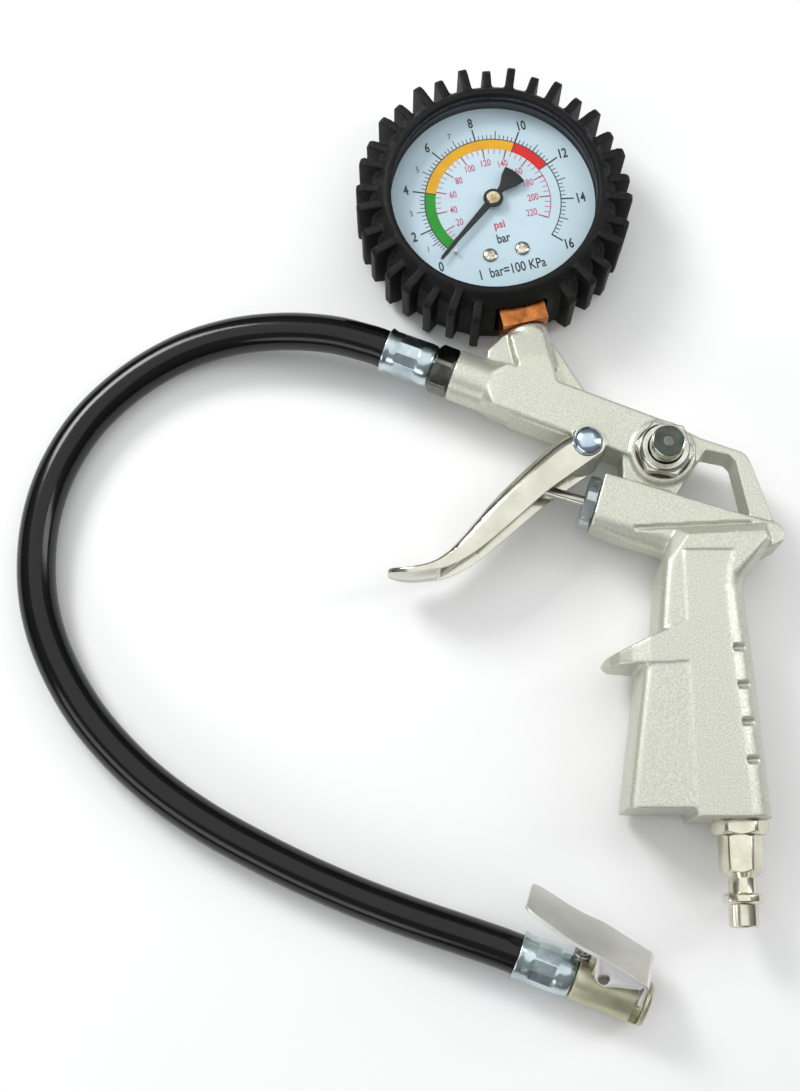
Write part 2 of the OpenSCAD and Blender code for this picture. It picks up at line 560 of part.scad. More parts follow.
// ---- Inlet ----
module inlet_adapter() color("#c9c2a6") difference() {
    union() {
        down_inlet(grip_end_y - 0.1) rotate([0, 0, 7]) chamfered_hex(14.5, 4.1, 0.8);
        down_inlet(-90) cylinder(r = 4.95, h = 10.4);
    }
    down_inlet(-80) cylinder(r = 2.6, h = 30);
    down_inlet(-97) cylinder(r = 4.2, h = 10);
}
module inlet_plug() color("#c9c2a6") difference() {
    union() {
        down_inlet(-97.4) cylinder(r = plug_tip_r, h = 6.9);
        down_inlet(-104.25) rotate([0, 0, 12]) chamfered_hex(11.2, 10.4, 0.7);
        down_inlet(-114.6) rotate_extrude() polygon([
            [0, 0], [5.6, 0], [3.95, 1.5], [3.95, 5.6], [plug_collar_r - 0.6, 5.9], [plug_collar_r, 6.4],
            [plug_collar_r, 8], [plug_collar_r - 0.6, 8.6], [plug_tip_r, 8.9], [plug_tip_r, 14.6],
            [plug_tip_r - 0.5, 15.1], [0, 15.1]
        ]);
    }
    down_inlet(-90) cylinder(r = 2.4, h = 50);
}

// ---- Hose and its ends ----
module hose_nipple() color("#6d7478") difference() {
    union() {
        along_barrel(-6.4) chamfered_hex(13.6, 6.3, 0.8);
        along_barrel(-1) cylinder(r = 4.9, h = 10);
        along_barrel(-20) for (i = [0 : 3]) translate([0, 0, 3.4 * i]) cylinder(r1 = 2.9, r2 = 3.6, h = 3.4);
    }
    along_barrel(-30) cylinder(r = 1.9, h = 50);
}
module ferrule_shell(mouth, front, length) difference() {
    rotate_extrude() polygon([
        [0, 0], [mouth, 0], [mouth, 0.6], [mouth - 0.4, 2.4], [front + 0.2, length - 3], [front, length - 0.8],
        [front - 0.6, length], [0, length]
    ]);
    translate([0, 0, -1]) cylinder(r = hose_d / 2 + 0.05, h = length - 0.4);
    translate([0, 0, -1]) cylinder(r = 3.7, h = length + 2);
}
module gun_ferrule() color("#aebfc2") along_barrel(-22) ferrule_shell(6.85, 6.4, 15.5);
module chuck_ferrule() color("#aebfc2") along_chuck(0) ferrule_shell(7, 6.3, 16.6);
module hose() color("#18191b") swept(smooth_route(HOSE_ROUTE, rings_per_stretch), hose_d / 2, hose_sides);
module chuck_barb() color("#b9bcae") difference() {
    union() {
        along_chuck(2) for (i = [0 : 3]) translate([0, 0, 3.4 * i]) cylinder(r1 = 2.9, r2 = 3.6, h = 3.4);
        along_chuck(15.2) cylinder(r = 3.6, h = 7);
    }
    along_chuck(0) cylinder(r = 1.9, h = 40);
}
module chuck_body() color("#c3bda2") difference() {
    union() {
        along_chuck(chuck_body_start - 0.2) rotate_extrude() polygon([
            [0, 0], [chuck_r - 0.5, 0], [chuck_r, 0.6], [chuck_r, 21], [chuck_r - 0.5, 21.7], [0, 21.7]
        ]);
        in_chuck() translate([20.6, -3.2, 0]) cube([6, 6.4, 10.8]);
    }
    along_chuck(30.2) cylinder(r = mouth_r, h = 20);
    along_chuck(24) cylinder(r = 5.2, h = 6.21);
    along_chuck(10) cylinder(r = 3.65, h = 12.3);
    along_chuck(20) cylinder(r = 2.4, h = 5);
    in_chuck() translate([lever_pivot.x, 10, lever_pivot.z]) rotate([90, 0, 0]) cylinder(r = 1.5 + fit, h = 20);
    in_chuck() translate([34.4, -10, -3.6]) cube([2.5, 20, 20]);
}
module chuck_seal() color("#1f1f1f") along_chuck(26.6) ring(5.15, 2.7, 3.5);
module valve_depressor() color("#c2a45e") {
    along_chuck(24.1) cylinder(r = 5.1, h = 1.2);
    along_chuck(25.2) cylinder(r = 1, h = 5);
}
module chuck_lever_pin() color("#aeb2ac") in_chuck() translate([lever_pivot.x, 8, lever_pivot.z]) rotate([90, 0, 0])
    cylinder(r = 1.5, h = 16);
lever_over = [[-3.2, 20.8], [3, 19], [9, 17.2], [14, 16.2], [18.8, 15.7]];
lever_under = [[18.6, 14.6], [13.8, 15.1], [8.7, 16.1], [2.7, 17.9], [-3.4, 19.7]];
lever_nose = [
    [20.4, 15.4], [33.2, 12.3], [34.9, 12], [35.9, 11], [35.9, 4.5], [34.8, 4.5], [34.8, 10.6], [33, 11.2], [20.2, 14.3]
];
lever_top = concat(smooth_route(lever_over, 3), lever_nose, smooth_route(lever_under, 3));
lever_cheek = [[19.6, 14.6], [34.6, 11.4], [33.8, 9.8], [27, 7.4], [24.8, 6.4], [22.6, 6.6], [21.2, 8]];
module chuck_lever() color("#dcdcd2") difference() {
    in_chuck() {
        intersection() {
            rotate([90, 0, 0]) translate([0, 0, -7.5]) linear_extrude(15) polygon(lever_top);
            linear_extrude(40) polygon([
                [-3.6, -4.4], [-2.4, -5.8], [0, -6.4], [19, -7.5], [40, -7.5],
                [40, 7.5], [19, 7.5], [0, 6.4], [-2.4, 5.8], [-3.6, 4.4]
            ]);
        }
        for (side = [-1, 1]) translate([0, side * 7 + 0.5, 0]) rotate([90, 0, 0]) linear_extrude(1) polygon(lever_cheek);
    }
    in_chuck() translate([lever_pivot.x, 10, lever_pivot.z]) rotate([90, 0, 0]) cylinder(r = 1.5 + fit, h = 20);
    along_chuck(30) cylinder(r = mouth_r + 0.3, h = 10);
}
module chuck_spring() color("#b8bab4") in_chuck() translate([16.6, 0, chuck_r]) coil_spring(2.2, 0.35, 8.3, 5);

gun_casting();
gauge_boot();
gauge_case();
gauge_bezel();
gauge_lens();
lens_gasket();
gauge_socket();
dial_plate();
dial_screws();
stop_pin();
bourdon_tube();
movement_plates();
movement_pillars();
pointer();
pointer_hub();
pinion_arbor();
hairspring();
sector_gear();
movement_link();
trigger_lever();
trigger_rivet();
push_pin();
valve_poppet();
valve_spring();
packing_nut();
pin_seal();
guide_bush();
valve_seat();
bleed_body();
bleed_washer();
bleed_button();
bleed_stem();
bleed_seal();
bleed_spring();
inlet_adapter();
inlet_plug();
hose_nipple();
gun_ferrule();
hose();
chuck_ferrule();
chuck_barb();
chuck_body();
chuck_seal();
valve_depressor();
chuck_lever();
chuck_lever_pin();
chuck_spring();
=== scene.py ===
import json
from math import cos, sin, pi, radians, sqrt

import bmesh
import bpy
from mathutils import Matrix, Vector
from bpy.props import FloatProperty, IntProperty, PointerProperty


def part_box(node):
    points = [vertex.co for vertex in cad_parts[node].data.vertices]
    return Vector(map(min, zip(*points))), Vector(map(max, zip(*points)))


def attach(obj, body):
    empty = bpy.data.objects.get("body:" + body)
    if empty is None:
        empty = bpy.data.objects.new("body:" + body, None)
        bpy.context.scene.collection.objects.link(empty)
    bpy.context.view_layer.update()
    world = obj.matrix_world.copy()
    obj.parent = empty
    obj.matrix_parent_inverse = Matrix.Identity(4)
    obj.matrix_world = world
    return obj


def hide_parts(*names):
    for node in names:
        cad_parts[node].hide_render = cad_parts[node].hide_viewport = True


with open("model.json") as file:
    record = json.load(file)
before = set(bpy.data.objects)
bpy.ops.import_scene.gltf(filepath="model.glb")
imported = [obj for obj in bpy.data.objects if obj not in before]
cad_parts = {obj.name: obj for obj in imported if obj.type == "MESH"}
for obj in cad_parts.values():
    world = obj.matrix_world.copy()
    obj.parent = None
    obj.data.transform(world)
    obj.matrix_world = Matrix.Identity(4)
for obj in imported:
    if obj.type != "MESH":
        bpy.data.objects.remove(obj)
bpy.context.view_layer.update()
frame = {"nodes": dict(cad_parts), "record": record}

bl_info = {
    "name": "Tyre inflator",
    "version": (1, 0, 0),
    "blender": (4, 5, 0),
    "location": "3D View > Sidebar > Inflator",
    "description": "Dresses a tyre inflator with gauge, hose and clip-on chuck",
    "category": "Add Mesh",
}

MM = 0.001

# ---- Places, in millimetres, worked out from the frame ----
RECORD = frame["record"]


def middle(node):
    """The middle of a node's box, in millimetres."""
    low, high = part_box(node)
    return (Vector(low) + Vector(high)) / (2 * MM)


def heights(node):
    """A node's lowest and highest Z, in millimetres."""
    low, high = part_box(node)
    return low[2] / MM, high[2] / MM


def radius_of(node):
    """Half of a node's width along X, in millimetres."""
    low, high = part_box(node)
    return (high[0] - low[0]) / (2 * MM)


def upright_at(node):
    """A place on the ground under a node's middle, in millimetres."""
    centre = middle(node)
    return Matrix.Translation((centre.x, centre.y, 0))


def joint(name):
    """What the record says of a joint."""
    return next(j for j in RECORD["behaviour"]["joints"] if j["name"] == name)


def mount(name):
    """What the record says of a mount."""
    return next(m for m in RECORD["mounts"] if m["name"] == name)


def axes_at(origin, x, z):
    """A matrix that puts a shape's own X and Z on the given directions, in millimetres."""
    x = Vector(x).normalized()
    z = (Vector(z) - x * x.dot(Vector(z))).normalized()
    y = z.cross(x)
    turned = Matrix((x, y, z)).transposed().to_4x4()
    return Matrix.Translation(origin) @ turned


def in_metres(place):
    """A place in millimetres, for a mesh that is in metres already."""
    return Matrix.Scale(MM, 4) @ place @ Matrix.Scale(1 / MM, 4)


GAUGE = upright_at("gauge_lens")
PIVOT = Vector(joint("trigger_squeeze")["pos_m"]) / MM
MID_Z = joint("trigger_squeeze")["pos_m"][2] / MM
DIAL_TILT = radians(13)
DIAL = GAUGE @ Matrix.Rotation(DIAL_TILT, 4, "Z")
DIAL_FACE = heights("dial_plate")[1]
BARREL_ANGLE = radians(-21.5)
BARREL_FRONT = Vector((-32.7, 33.05, MID_Z))
VALVE_AXIS = Vector(joint("valve_push")["axis"])
VALVE_FRONT = middle("packing_nut") + VALVE_AXIS * 1.85
BLEED = upright_at("bleed_stem")
CHUCK_AXIS = Vector(mount("valve_mouth")["axis"])
CHUCK_MOUTH = Vector(mount("valve_mouth")["pos_m"]) / MM
CHUCK_SIDE = -Vector(joint("chuck_lever_press")["axis"])
CHUCK = axes_at(CHUCK_MOUTH - CHUCK_AXIS * 34.35, CHUCK_AXIS, CHUCK_AXIS.cross(CHUCK_SIDE))
BARREL = axes_at(BARREL_FRONT, (cos(BARREL_ANGLE), sin(BARREL_ANGLE), 0), (0, 0, 1))
LAY_ALONG_X = Matrix.Rotation(pi / 2, 4, "Y")

# The hose's middle line, from the body's ferrule to the chuck's ferrule
HOSE_ROUTE = [
    (-53.2, 41.1, 13.5), (-58.0, 43.0, 13.4), (-70.3, 46.4, 12.7), (-85.5, 47.9, 11.1),
    (-101.0, 46.8, 9.0), (-116.4, 42.2, 7.2), (-131.0, 33.4, 6.1), (-143.4, 21.2, 5.8),
    (-151.7, 7.2, 5.8), (-156.2, -7.3, 5.8), (-157.4, -22.6, 5.8), (-155.5, -37.9, 5.8),
    (-150.0, -53.0, 5.8), (-141.0, -68.0, 5.8), (-130.1, -80.5, 5.8), (-118.0, -91.0, 5.8),
    (-104.1, -100.3, 5.8), (-89.5, -108.2, 5.8), (-75.1, -115.1, 5.8), (-60.6, -121.2, 5.8),
    (-46.2, -126.5, 6.2), (-32.0, -131.2, 6.8), (-21.0, -134.9, 7.2), (-16.0, -136.8, 7.3),
]


# ---- Colours and finishes ----
def rgb(red, green, blue):
    """A colour given as 0 to 255 on a screen, turned into light."""
    def light(c):
        c /= 255
        return c / 12.92 if c <= 0.04045 else ((c + 0.055) / 1.055) ** 2.4
    return (light(red), light(green), light(blue), 1.0)


def noise(tree, coords, scale, detail=4.0, rough=0.55):
    """A soft noise from 0 to 1."""
    node = tree.nodes.new("ShaderNodeTexNoise")
    node.inputs["Scale"].default_value = scale
    node.inputs["Detail"].default_value = detail
    node.inputs["Roughness"].default_value = rough
    tree.links.new(coords, node.inputs["Vector"])
    return node.outputs["Fac"]


def remap(tree, value, low, high, to_low, to_high):
    """A value moved from one range to another, and held inside it."""
    node = tree.nodes.new("ShaderNodeMapRange")
    tree.links.new(value, node.inputs["Value"])
    ends = {"From Min": low, "From Max": high, "To Min": to_low, "To Max": to_high}
    for name, number in ends.items():
        node.inputs[name].default_value = number
    return node.outputs["Result"]


def blend_colours(tree, factor, a, b):
    """A blend of two colours, each of them fixed or another node's output."""
    node = tree.nodes.new("ShaderNodeMix")
    node.data_type = "RGBA"
    tree.links.new(factor, node.inputs["Factor"])
    for socket, colour in ((node.inputs[6], a), (node.inputs[7], b)):
        if isinstance(colour, bpy.types.NodeSocket):
            tree.links.new(colour, socket)
        else:
            socket.default_value = colour
    return node.outputs[2]


def bump(tree, height, distance, under=None):
    """A relief in metres, laid over another where one is given."""
    node = tree.nodes.new("ShaderNodeBump")
    node.inputs["Strength"].default_value = 0.5
    node.inputs["Distance"].default_value = distance
    tree.links.new(height, node.inputs["Height"])
    if under is not None:
        tree.links.new(under, node.inputs["Normal"])
    return node.outputs["Normal"]


def new_finish(name, sockets):
    """A material with its shader and its Object coordinates."""
    material = bpy.data.materials.new(name)
    material.use_nodes = True
    tree = material.node_tree
    shader = tree.nodes["Principled BSDF"]
    for socket, value in sockets.items():
        shader.inputs[socket].default_value = value
    coords = tree.nodes.new("ShaderNodeTexCoord")
    return material, tree, shader, coords.outputs["Object"]


def finish(name, colour, shade, rough, spread=0.06, mottle=180, grain=2500, depth=0.02, **sockets):
    """A plain finish: its colour drifts to a shade, and a fine grain breaks up its gloss."""
    named = {key.replace("_", " "): value for key, value in sockets.items()}
    material, tree, shader, coords = new_finish(name, named)
    drift = remap(tree, noise(tree, coords, mottle), 0.35, 0.65, 0, 1)
    tree.links.new(blend_colours(tree, drift, colour, shade), shader.inputs["Base Color"])
    fine = noise(tree, coords, grain, 3.0)
    smears = noise(tree, coords, mottle * 1.7, 5.0)
    gloss = remap(tree, smears, 0.3, 0.7, rough - spread, rough + spread)
    tree.links.new(gloss, shader.inputs["Roughness"])
    tree.links.new(bump(tree, fine, depth * MM), shader.inputs["Normal"])
    return material


def plated(name, colour, shade, rough, spread, mottle, depth=0.005):
    """Bright plated or polished metal, with a faint drift in tone and gloss."""
    return finish(name, colour, shade, rough, spread, mottle, 1400, depth, Metallic=1.0)


def cast_enamel():
    """Silver-grey enamel over a sand-textured die casting, worn bright along its edges, where it also has a
    painted highlight, and with painted shade in its hollows.
    """
    material, tree, shader, coords = new_finish("cast_enamel", {"Metallic": 0.6})
    grains = noise(tree, coords, 1900, 3.0, 0.6)
    swell = noise(tree, coords, 90, 2.0)
    tint = remap(tree, grains, 0.33, 0.67, 0, 1)
    grainy = blend_colours(tree, tint, rgb(186, 188, 174), rgb(218, 220, 208))
    patches = remap(tree, noise(tree, coords, 45, 3.0), 0.4, 0.68, 0, 0.4)
    aged = blend_colours(tree, patches, grainy, rgb(206, 206, 186))
    geometry = tree.nodes.new("ShaderNodeNewGeometry")
    # Convex edges lightened: partly worn enamel, partly a painted highlight along the rounded edges
    edges = remap(tree, geometry.outputs["Pointiness"], 0.53, 0.62, 0, 0.6)
    worn_and_highlit = blend_colours(tree, edges, aged, rgb(236, 236, 228))
    # Painted shade: the casting is darkened in its hollows and creases, where shade falls
    hollow_shade = remap(tree, geometry.outputs["Pointiness"], 0.40, 0.48, 0.75, 0)
    tree.links.new(blend_colours(tree, hollow_shade, worn_and_highlit, rgb(104, 104, 88)), shader.inputs["Base Color"])
    tree.links.new(remap(tree, grains, 0.3, 0.7, 0.48, 0.32), shader.inputs["Roughness"])
    rolling = bump(tree, swell, 0.25 * MM)
    tree.links.new(bump(tree, grains, 0.09 * MM, rolling), shader.inputs["Normal"])
    return material


def moulded_rubber():
    """Matt black boot rubber, dusty in patches, and lighter along its edges: partly rubbed wear, partly a
    painted highlight.
    """
    material, tree, shader, coords = new_finish("moulded_rubber", {"Specular IOR Level": 0.25})
    dust = remap(tree, noise(tree, coords, 130, 5.0, 0.6), 0.45, 0.75, 0, 0.5)
    base = blend_colours(tree, dust, rgb(11, 12, 11), rgb(28, 29, 27))
    geometry = tree.nodes.new("ShaderNodeNewGeometry")
    # Lighter along convex edges: partly rubbed wear, partly a painted highlight on the rounded edges
    edges = remap(tree, geometry.outputs["Pointiness"], 0.52, 0.6, 0, 0.55)
    tree.links.new(blend_colours(tree, edges, base, rgb(54, 54, 50)), shader.inputs["Base Color"])
    fine = noise(tree, coords, 1800, 4.0, 0.65)
    tree.links.new(remap(tree, fine, 0.3, 0.7, 0.48, 0.68), shader.inputs["Roughness"])
    tree.links.new(bump(tree, fine, 0.06 * MM), shader.inputs["Normal"])
    return material


def clear_window():
    """The gauge's clear window, with faint smears."""
    material, tree, shader, coords = new_finish("clear_window", {
        "Base Color": (0.8, 0.86, 0.9, 1), "Alpha": 0.015, "IOR": 1.49, "Specular IOR Level": 0.2})
    smears = noise(tree, coords, 60, 5.0, 0.6)
    tree.links.new(remap(tree, smears, 0.3, 0.8, 0.02, 0.12), shader.inputs["Roughness"])
    return material


def make_finishes():
    """Every finish by name."""
    return {
        "casting": cast_enamel(),
        "boot": moulded_rubber(),
        "window": clear_window(),
        "case": finish("case_enamel", rgb(40, 42, 46), rgb(58, 60, 64), 0.35),
        "bezel": finish("bezel_enamel", rgb(34, 44, 66), rgb(60, 70, 92), 0.28, Coat_Weight=0.3),
        "seal": finish("seal_rubber", rgb(22, 22, 23), rgb(38, 38, 38), 0.5, depth=0.04),
        "copper": plated("stem_copper", rgb(206, 134, 76), rgb(134, 72, 36), 0.28, 0.08, 200, depth=0.02),
        "dial": finish("dial_enamel", rgb(196, 219, 229), rgb(188, 212, 223), 0.42, 0.05, 40, 3000,
                       0.004),
        "screw": plated("bright_plate", rgb(226, 224, 212), rgb(196, 190, 172), 0.2, 0.08, 300),
        "brass": plated("satin_brass", rgb(206, 176, 108), rgb(178, 146, 84), 0.32, 0.08, 220),
        "pointer": finish("needle_enamel", rgb(8, 8, 10), rgb(16, 16, 20), 0.5, 0.06,
                          Specular_IOR_Level=0.2),
        "hub": plated("hub_brass", rgb(216, 208, 172), rgb(176, 160, 118), 0.25, 0.1, 400),
        "lever": plated("lever_nickel", rgb(214, 214, 200), rgb(198, 198, 182), 0.17, 0.03, 90),
        "rivet": plated("rivet_zinc", rgb(206, 220, 232), rgb(176, 192, 208), 0.2, 0.05, 260),
        "steel": plated("ground_steel", rgb(200, 198, 190), rgb(170, 168, 160), 0.24, 0.05, 160),
        "spring": plated("spring_wire", rgb(150, 150, 146), rgb(120, 120, 114), 0.3, 0.06, 400),
        "nut": plated("nut_zinc", rgb(206, 214, 216), rgb(176, 184, 188), 0.3, 0.08, 160),
        "bleed": plated("bleed_nickel", rgb(214, 216, 206), rgb(180, 180, 166), 0.2, 0.06, 200),
        "fibre": finish("washer_fibre", rgb(92, 70, 58), rgb(66, 50, 42), 0.7, 0.08, 400, 1500, 0.05),
        "button": finish("button_plastic", rgb(44, 50, 44), rgb(74, 80, 70), 0.4, 0.1, 300, depth=0.03),
        "fitting": plated("fitting_nickel", rgb(226, 223, 206), rgb(204, 200, 178), 0.2, 0.05, 140),
        "dark_zinc": plated("dark_zinc", rgb(142, 142, 134), rgb(92, 92, 86), 0.16, 0.06, 200),
        "ferrule": plated("ferrule_zinc", rgb(204, 220, 224), rgb(172, 188, 192), 0.24, 0.06, 150),
        "hose": finish("hose_rubber", rgb(7, 7, 8), rgb(12, 12, 13), 0.15, 0.04, 60, 1300, 0.012,
                       Specular_IOR_Level=0.35),
        # Painted reflection: the clip's own nickel plate lifted to near white, brighter than the other nickel
        # parts, to stand in for the bright light that it reflects
        "clip": plated("clip_nickel_painted_reflection", rgb(242, 242, 240), rgb(228, 228, 224), 0.46, 0.06, 60),
        "chuck": plated("chuck_nickel", rgb(206, 205, 178), rgb(184, 182, 154), 0.44, 0.06, 160),
        "green": finish("green_ink", rgb(20, 150, 20), rgb(16, 138, 16), 0.6, Specular_IOR_Level=0.25),
        "amber": finish("amber_ink", rgb(226, 168, 0), rgb(214, 158, 0), 0.6, Specular_IOR_Level=0.25),
        "red": finish("red_ink", rgb(220, 14, 8), rgb(206, 10, 6), 0.6, Specular_IOR_Level=0.25),
        "black": finish("black_ink", rgb(18, 26, 32), rgb(26, 34, 40), 0.45),
        "grey": finish("grey_ink", rgb(70, 82, 94), rgb(60, 72, 84), 0.45),
        "magenta": finish("magenta_ink", rgb(196, 48, 100), rgb(186, 40, 90), 0.45),
        "floor": finish("studio_floor", (0.95, 0.95, 0.95, 1), (0.93, 0.93, 0.93, 1), 0.6, 0.05, 3, 20,
                        0.0),
    }


# Filled by main(), once the scene is there
FINISHES = {}


# ---- Mesh making ----
def added(name, data):
    """A new object for a mesh, a light or a camera, in the scene."""
    made = bpy.data.objects.new(name, data)
    bpy.context.scene.collection.objects.link(made)
    return made


def mesh_of(name, bm):
    """A mesh from one that is still being built, which is then freed."""
    mesh = bpy.data.meshes.new(name)
    bm.to_mesh(mesh)
    bm.free()
    return mesh


def opened(mesh):
    """A mesh opened for building."""
    bm = bmesh.new()
    bm.from_mesh(mesh)
    return bm


def crease(bm, sharp):
    """Smooths the faces, and keeps only the edges sharper than an angle crisp."""
    for face in bm.faces:
        face.smooth = True
    for edge in bm.edges:
        edge.smooth = len(edge.link_faces) == 2 and edge.calc_face_angle(0) < radians(sharp)


def piece(name, bm, material, place=None, sharp=32):
    """Turns a mesh in millimetres into a finished object that sits at the origin."""
    bmesh.ops.recalc_face_normals(bm, faces=bm.faces)
    crease(bm, sharp)
    mesh = mesh_of(name, bm)
    if place is not None:
        mesh.transform(place)
    mesh.transform(Matrix.Scale(MM, 4))
    mesh.materials.append(FINISHES[material])
    return added(name, mesh)


def settle(obj):
    """Applies an object's modifiers, which leaves it one plain mesh."""
    bpy.context.view_layer.update()
    graph = bpy.context.evaluated_depsgraph_get()
    mesh = bpy.data.meshes.new_from_object(obj.evaluated_get(graph))
    mesh.name = obj.name
    obj.modifiers.clear()
    obj.data = mesh


def carve(obj, tool):
    """Cuts one object out of another, and deletes the tool."""
    cut = obj.modifiers.new("cut", "BOOLEAN")
    cut.object = tool
    cut.operation = "DIFFERENCE"
    cut.solver = "EXACT"
    settle(obj)
    bpy.data.objects.remove(tool)


def joined(parts):
    """Joins meshes that are still being built."""
    whole = bmesh.new()
    for part in parts:
        holder = mesh_of("part", part)
        whole.from_mesh(holder)
        bpy.data.meshes.remove(holder)
    return whole


def moved(bm, matrix):
    """A mesh that is still being built, put in its place."""
    bmesh.ops.transform(bm, matrix=matrix, verts=bm.verts)
    return bm


def lathe(profile, steps, reach=None):
    """Turns a closed outline of (radius, height) round Z. reach(angle, height) scales the radius."""
    bm = bmesh.new()
    rings = []
    for k in range(steps):
        angle = 2 * pi * k / steps
        ring = []
        for radius, z in profile:
            if reach:
                radius *= reach(angle, z)
            ring.append(bm.verts.new((radius * cos(angle), radius * sin(angle), z)))
        rings.append(ring)
    count = len(profile)
    for k in range(steps):
        a, b = rings[k], rings[(k + 1) % steps]
        for i in range(count):
            j = (i + 1) % count
            bm.faces.new((a[i], b[i], b[j], a[j]))
    bmesh.ops.remove_doubles(bm, verts=bm.verts, dist=1e-5)
    bmesh.ops.dissolve_degenerate(bm, edges=bm.edges, dist=1e-6)
    return bm


def prism(outline, low, high, bevel=0.0, segments=2):
    """An outline pushed up along Z, with its edges rounded."""
    bm = bmesh.new()
    base = bm.faces.new([bm.verts.new((x, y, low)) for x, y in outline])
    grown = bmesh.ops.extrude_face_region(bm, geom=[base])
    top = [v for v in grown["geom"] if isinstance(v, bmesh.types.BMVert)]
    bmesh.ops.translate(bm, verts=top, vec=(0, 0, high - low))
    bmesh.ops.recalc_face_normals(bm, faces=bm.faces)
    if bevel:
        sharp = [e for e in bm.edges if e.calc_face_angle(0) > radians(25)]
        bmesh.ops.bevel(bm, geom=sharp, offset=bevel, segments=segments, affect="EDGES", profile=0.5,
                        clamp_overlap=True)
    return bm


def arc(radius, start, end, steps, centre=(0, 0)):
    """Points along an arc, with its angles in degrees."""
    angles = [radians(start + (end - start) * k / steps) for k in range(steps + 1)]
    return [(centre[0] + radius * cos(a), centre[1] + radius * sin(a)) for a in angles]


def hexagon(across_flats, turn):
    """A hexagon's corners, turned by an angle in degrees."""
    corner = across_flats / sqrt(3)
    angles = [radians(60 * k + turn) for k in range(6)]
    return [(corner * cos(a), corner * sin(a)) for a in angles]


def smooth_line(points, steps):
    """A Catmull-Rom curve through the points."""
    made = []
    last = len(points) - 1
    vectors = [Vector(p) for p in points]
    for i in range(last):
        a, b, c, d = vectors[max(i - 1, 0)], vectors[i], vectors[i + 1], vectors[min(i + 2, last)]
        for k in range(steps):
            u = k / steps
            made.append(0.5 * (2 * b + (c - a) * u + (2 * a - 5 * b + 4 * c - d) * u ** 2
                               + (3 * b - a - 3 * c + d) * u ** 3))
    made.append(vectors[last])
    return made


def sweep(points, radius, sides):
    """A round section carried along a line without twisting, closed at both ends."""
    bm = bmesh.new()
    across = None
    rings = []
    last = len(points) - 1
    for i, point in enumerate(points):
        along = (points[min(i + 1, last)] - points[max(i - 1, 0)]).normalized()
        if across is None:
            across = along.cross(Vector((0, 0, 1)))
            if across.length < 0.1:
                across = along.cross(Vector((1, 0, 0)))
        across = (across - along * across.dot(along)).normalized()
        up = along.cross(across)
        turns = [2 * pi * k / sides for k in range(sides)]
        rings.append([bm.verts.new(point + radius * (cos(a) * across + sin(a) * up)) for a in turns])
    for a, b in zip(rings, rings[1:]):
        for k in range(sides):
            bm.faces.new((a[k], a[(k + 1) % sides], b[(k + 1) % sides], b[k]))
    bm.faces.new(rings[0])
    bm.faces.new(rings[-1])
    return bm


def coil(radius, wire, low, high, turns):
    """A compression spring along Z, of wire with the given radius."""
    steps = 28 * turns
    rise = high - low - 2 * wire
    line = []
    for i in range(steps + 1):
        angle = 2 * pi * turns * i / steps
        line.append(Vector((radius * cos(angle), radius * sin(angle), low + wire + rise * i / steps)))
    return sweep(line, wire, 8)


def ring_of_copies():
    """Geometry nodes that repeat a piece round Z."""
    tree = bpy.data.node_groups.new("ring_of_copies", "GeometryNodeTree")
    sockets = {"Piece": "NodeSocketGeometry", "Count": "NodeSocketInt", "Start angle": "NodeSocketFloat",
               "Step angle": "NodeSocketFloat", "Finish": "NodeSocketMaterial"}
    for name, kind in sockets.items():
        tree.interface.new_socket(name, in_out="INPUT", socket_type=kind)
    tree.interface.new_socket("Ring", in_out="OUTPUT", socket_type="NodeSocketGeometry")
    new = tree.nodes.new
    given, result = new("NodeGroupInput"), new("NodeGroupOutput")
    line, place = new("GeometryNodeMeshLine"), new("GeometryNodeInstanceOnPoints")
    index, turn = new("GeometryNodeInputIndex"), new("ShaderNodeMath")
    combine, rotation = new("ShaderNodeCombineXYZ"), new("FunctionNodeEulerToRotation")
    real, dress_up = new("GeometryNodeRealizeInstances"), new("GeometryNodeSetMaterial")
    turn.operation = "MULTIPLY_ADD"
    line.inputs["Offset"].default_value = (0, 0, 0)
    for source, out, target, into in (
            (given, "Count", line, "Count"),
            (index, "Index", turn, 0),
            (given, "Step angle", turn, 1),
            (given, "Start angle", turn, 2),
            (turn, "Value", combine, "Z"),
            (combine, "Vector", rotation, "Euler"),
            (line, "Mesh", place, "Points"),
            (given, "Piece", place, "Instance"),
            (rotation, "Rotation", place, "Rotation"),
            (place, "Instances", real, "Geometry"),
            (real, "Geometry", dress_up, "Geometry"),
            (given, "Finish", dress_up, "Material"),
            (dress_up, "Geometry", result, "Ring")):
        tree.links.new(source.outputs[out], target.inputs[into])
    return tree


def repeated(name, bm, material, count, start, step, place):
    """Copies a shape round Z, its angles in degrees, and then puts the ring in its place."""
    made = piece(name, bm, material)
    tree = bpy.data.node_groups.get("ring_of_copies") or ring_of_copies()
    modifier = made.modifiers.new("copies", "NODES")
    modifier.node_group = tree
    values = {"Count": count, "Start angle": radians(start), "Step angle": radians(step),
              "Finish": FINISHES[material]}
    for item in tree.interface.items_tree:
        if item.in_out == "INPUT" and item.name in values:
            modifier[item.identifier] = values[item.name]
    settle(made)
    made.data.transform(in_metres(place))
    return made


def gather(name, pieces):
    """Joins finished objects of one body into one."""
    bm = bmesh.new()
    materials = []
    for part in pieces:
        before = len(bm.faces)
        bm.from_mesh(part.data)
        bm.faces.ensure_lookup_table()
        if part.data.materials[0] not in materials:
            materials.append(part.data.materials[0])
        for face in bm.faces[before:]:
            face.material_index = materials.index(part.data.materials[0])
    mesh = mesh_of(name, bm)
    for material in materials:
        mesh.materials.append(material)
    for part in pieces:
        bpy.data.objects.remove(part)
    return added(name, mesh)


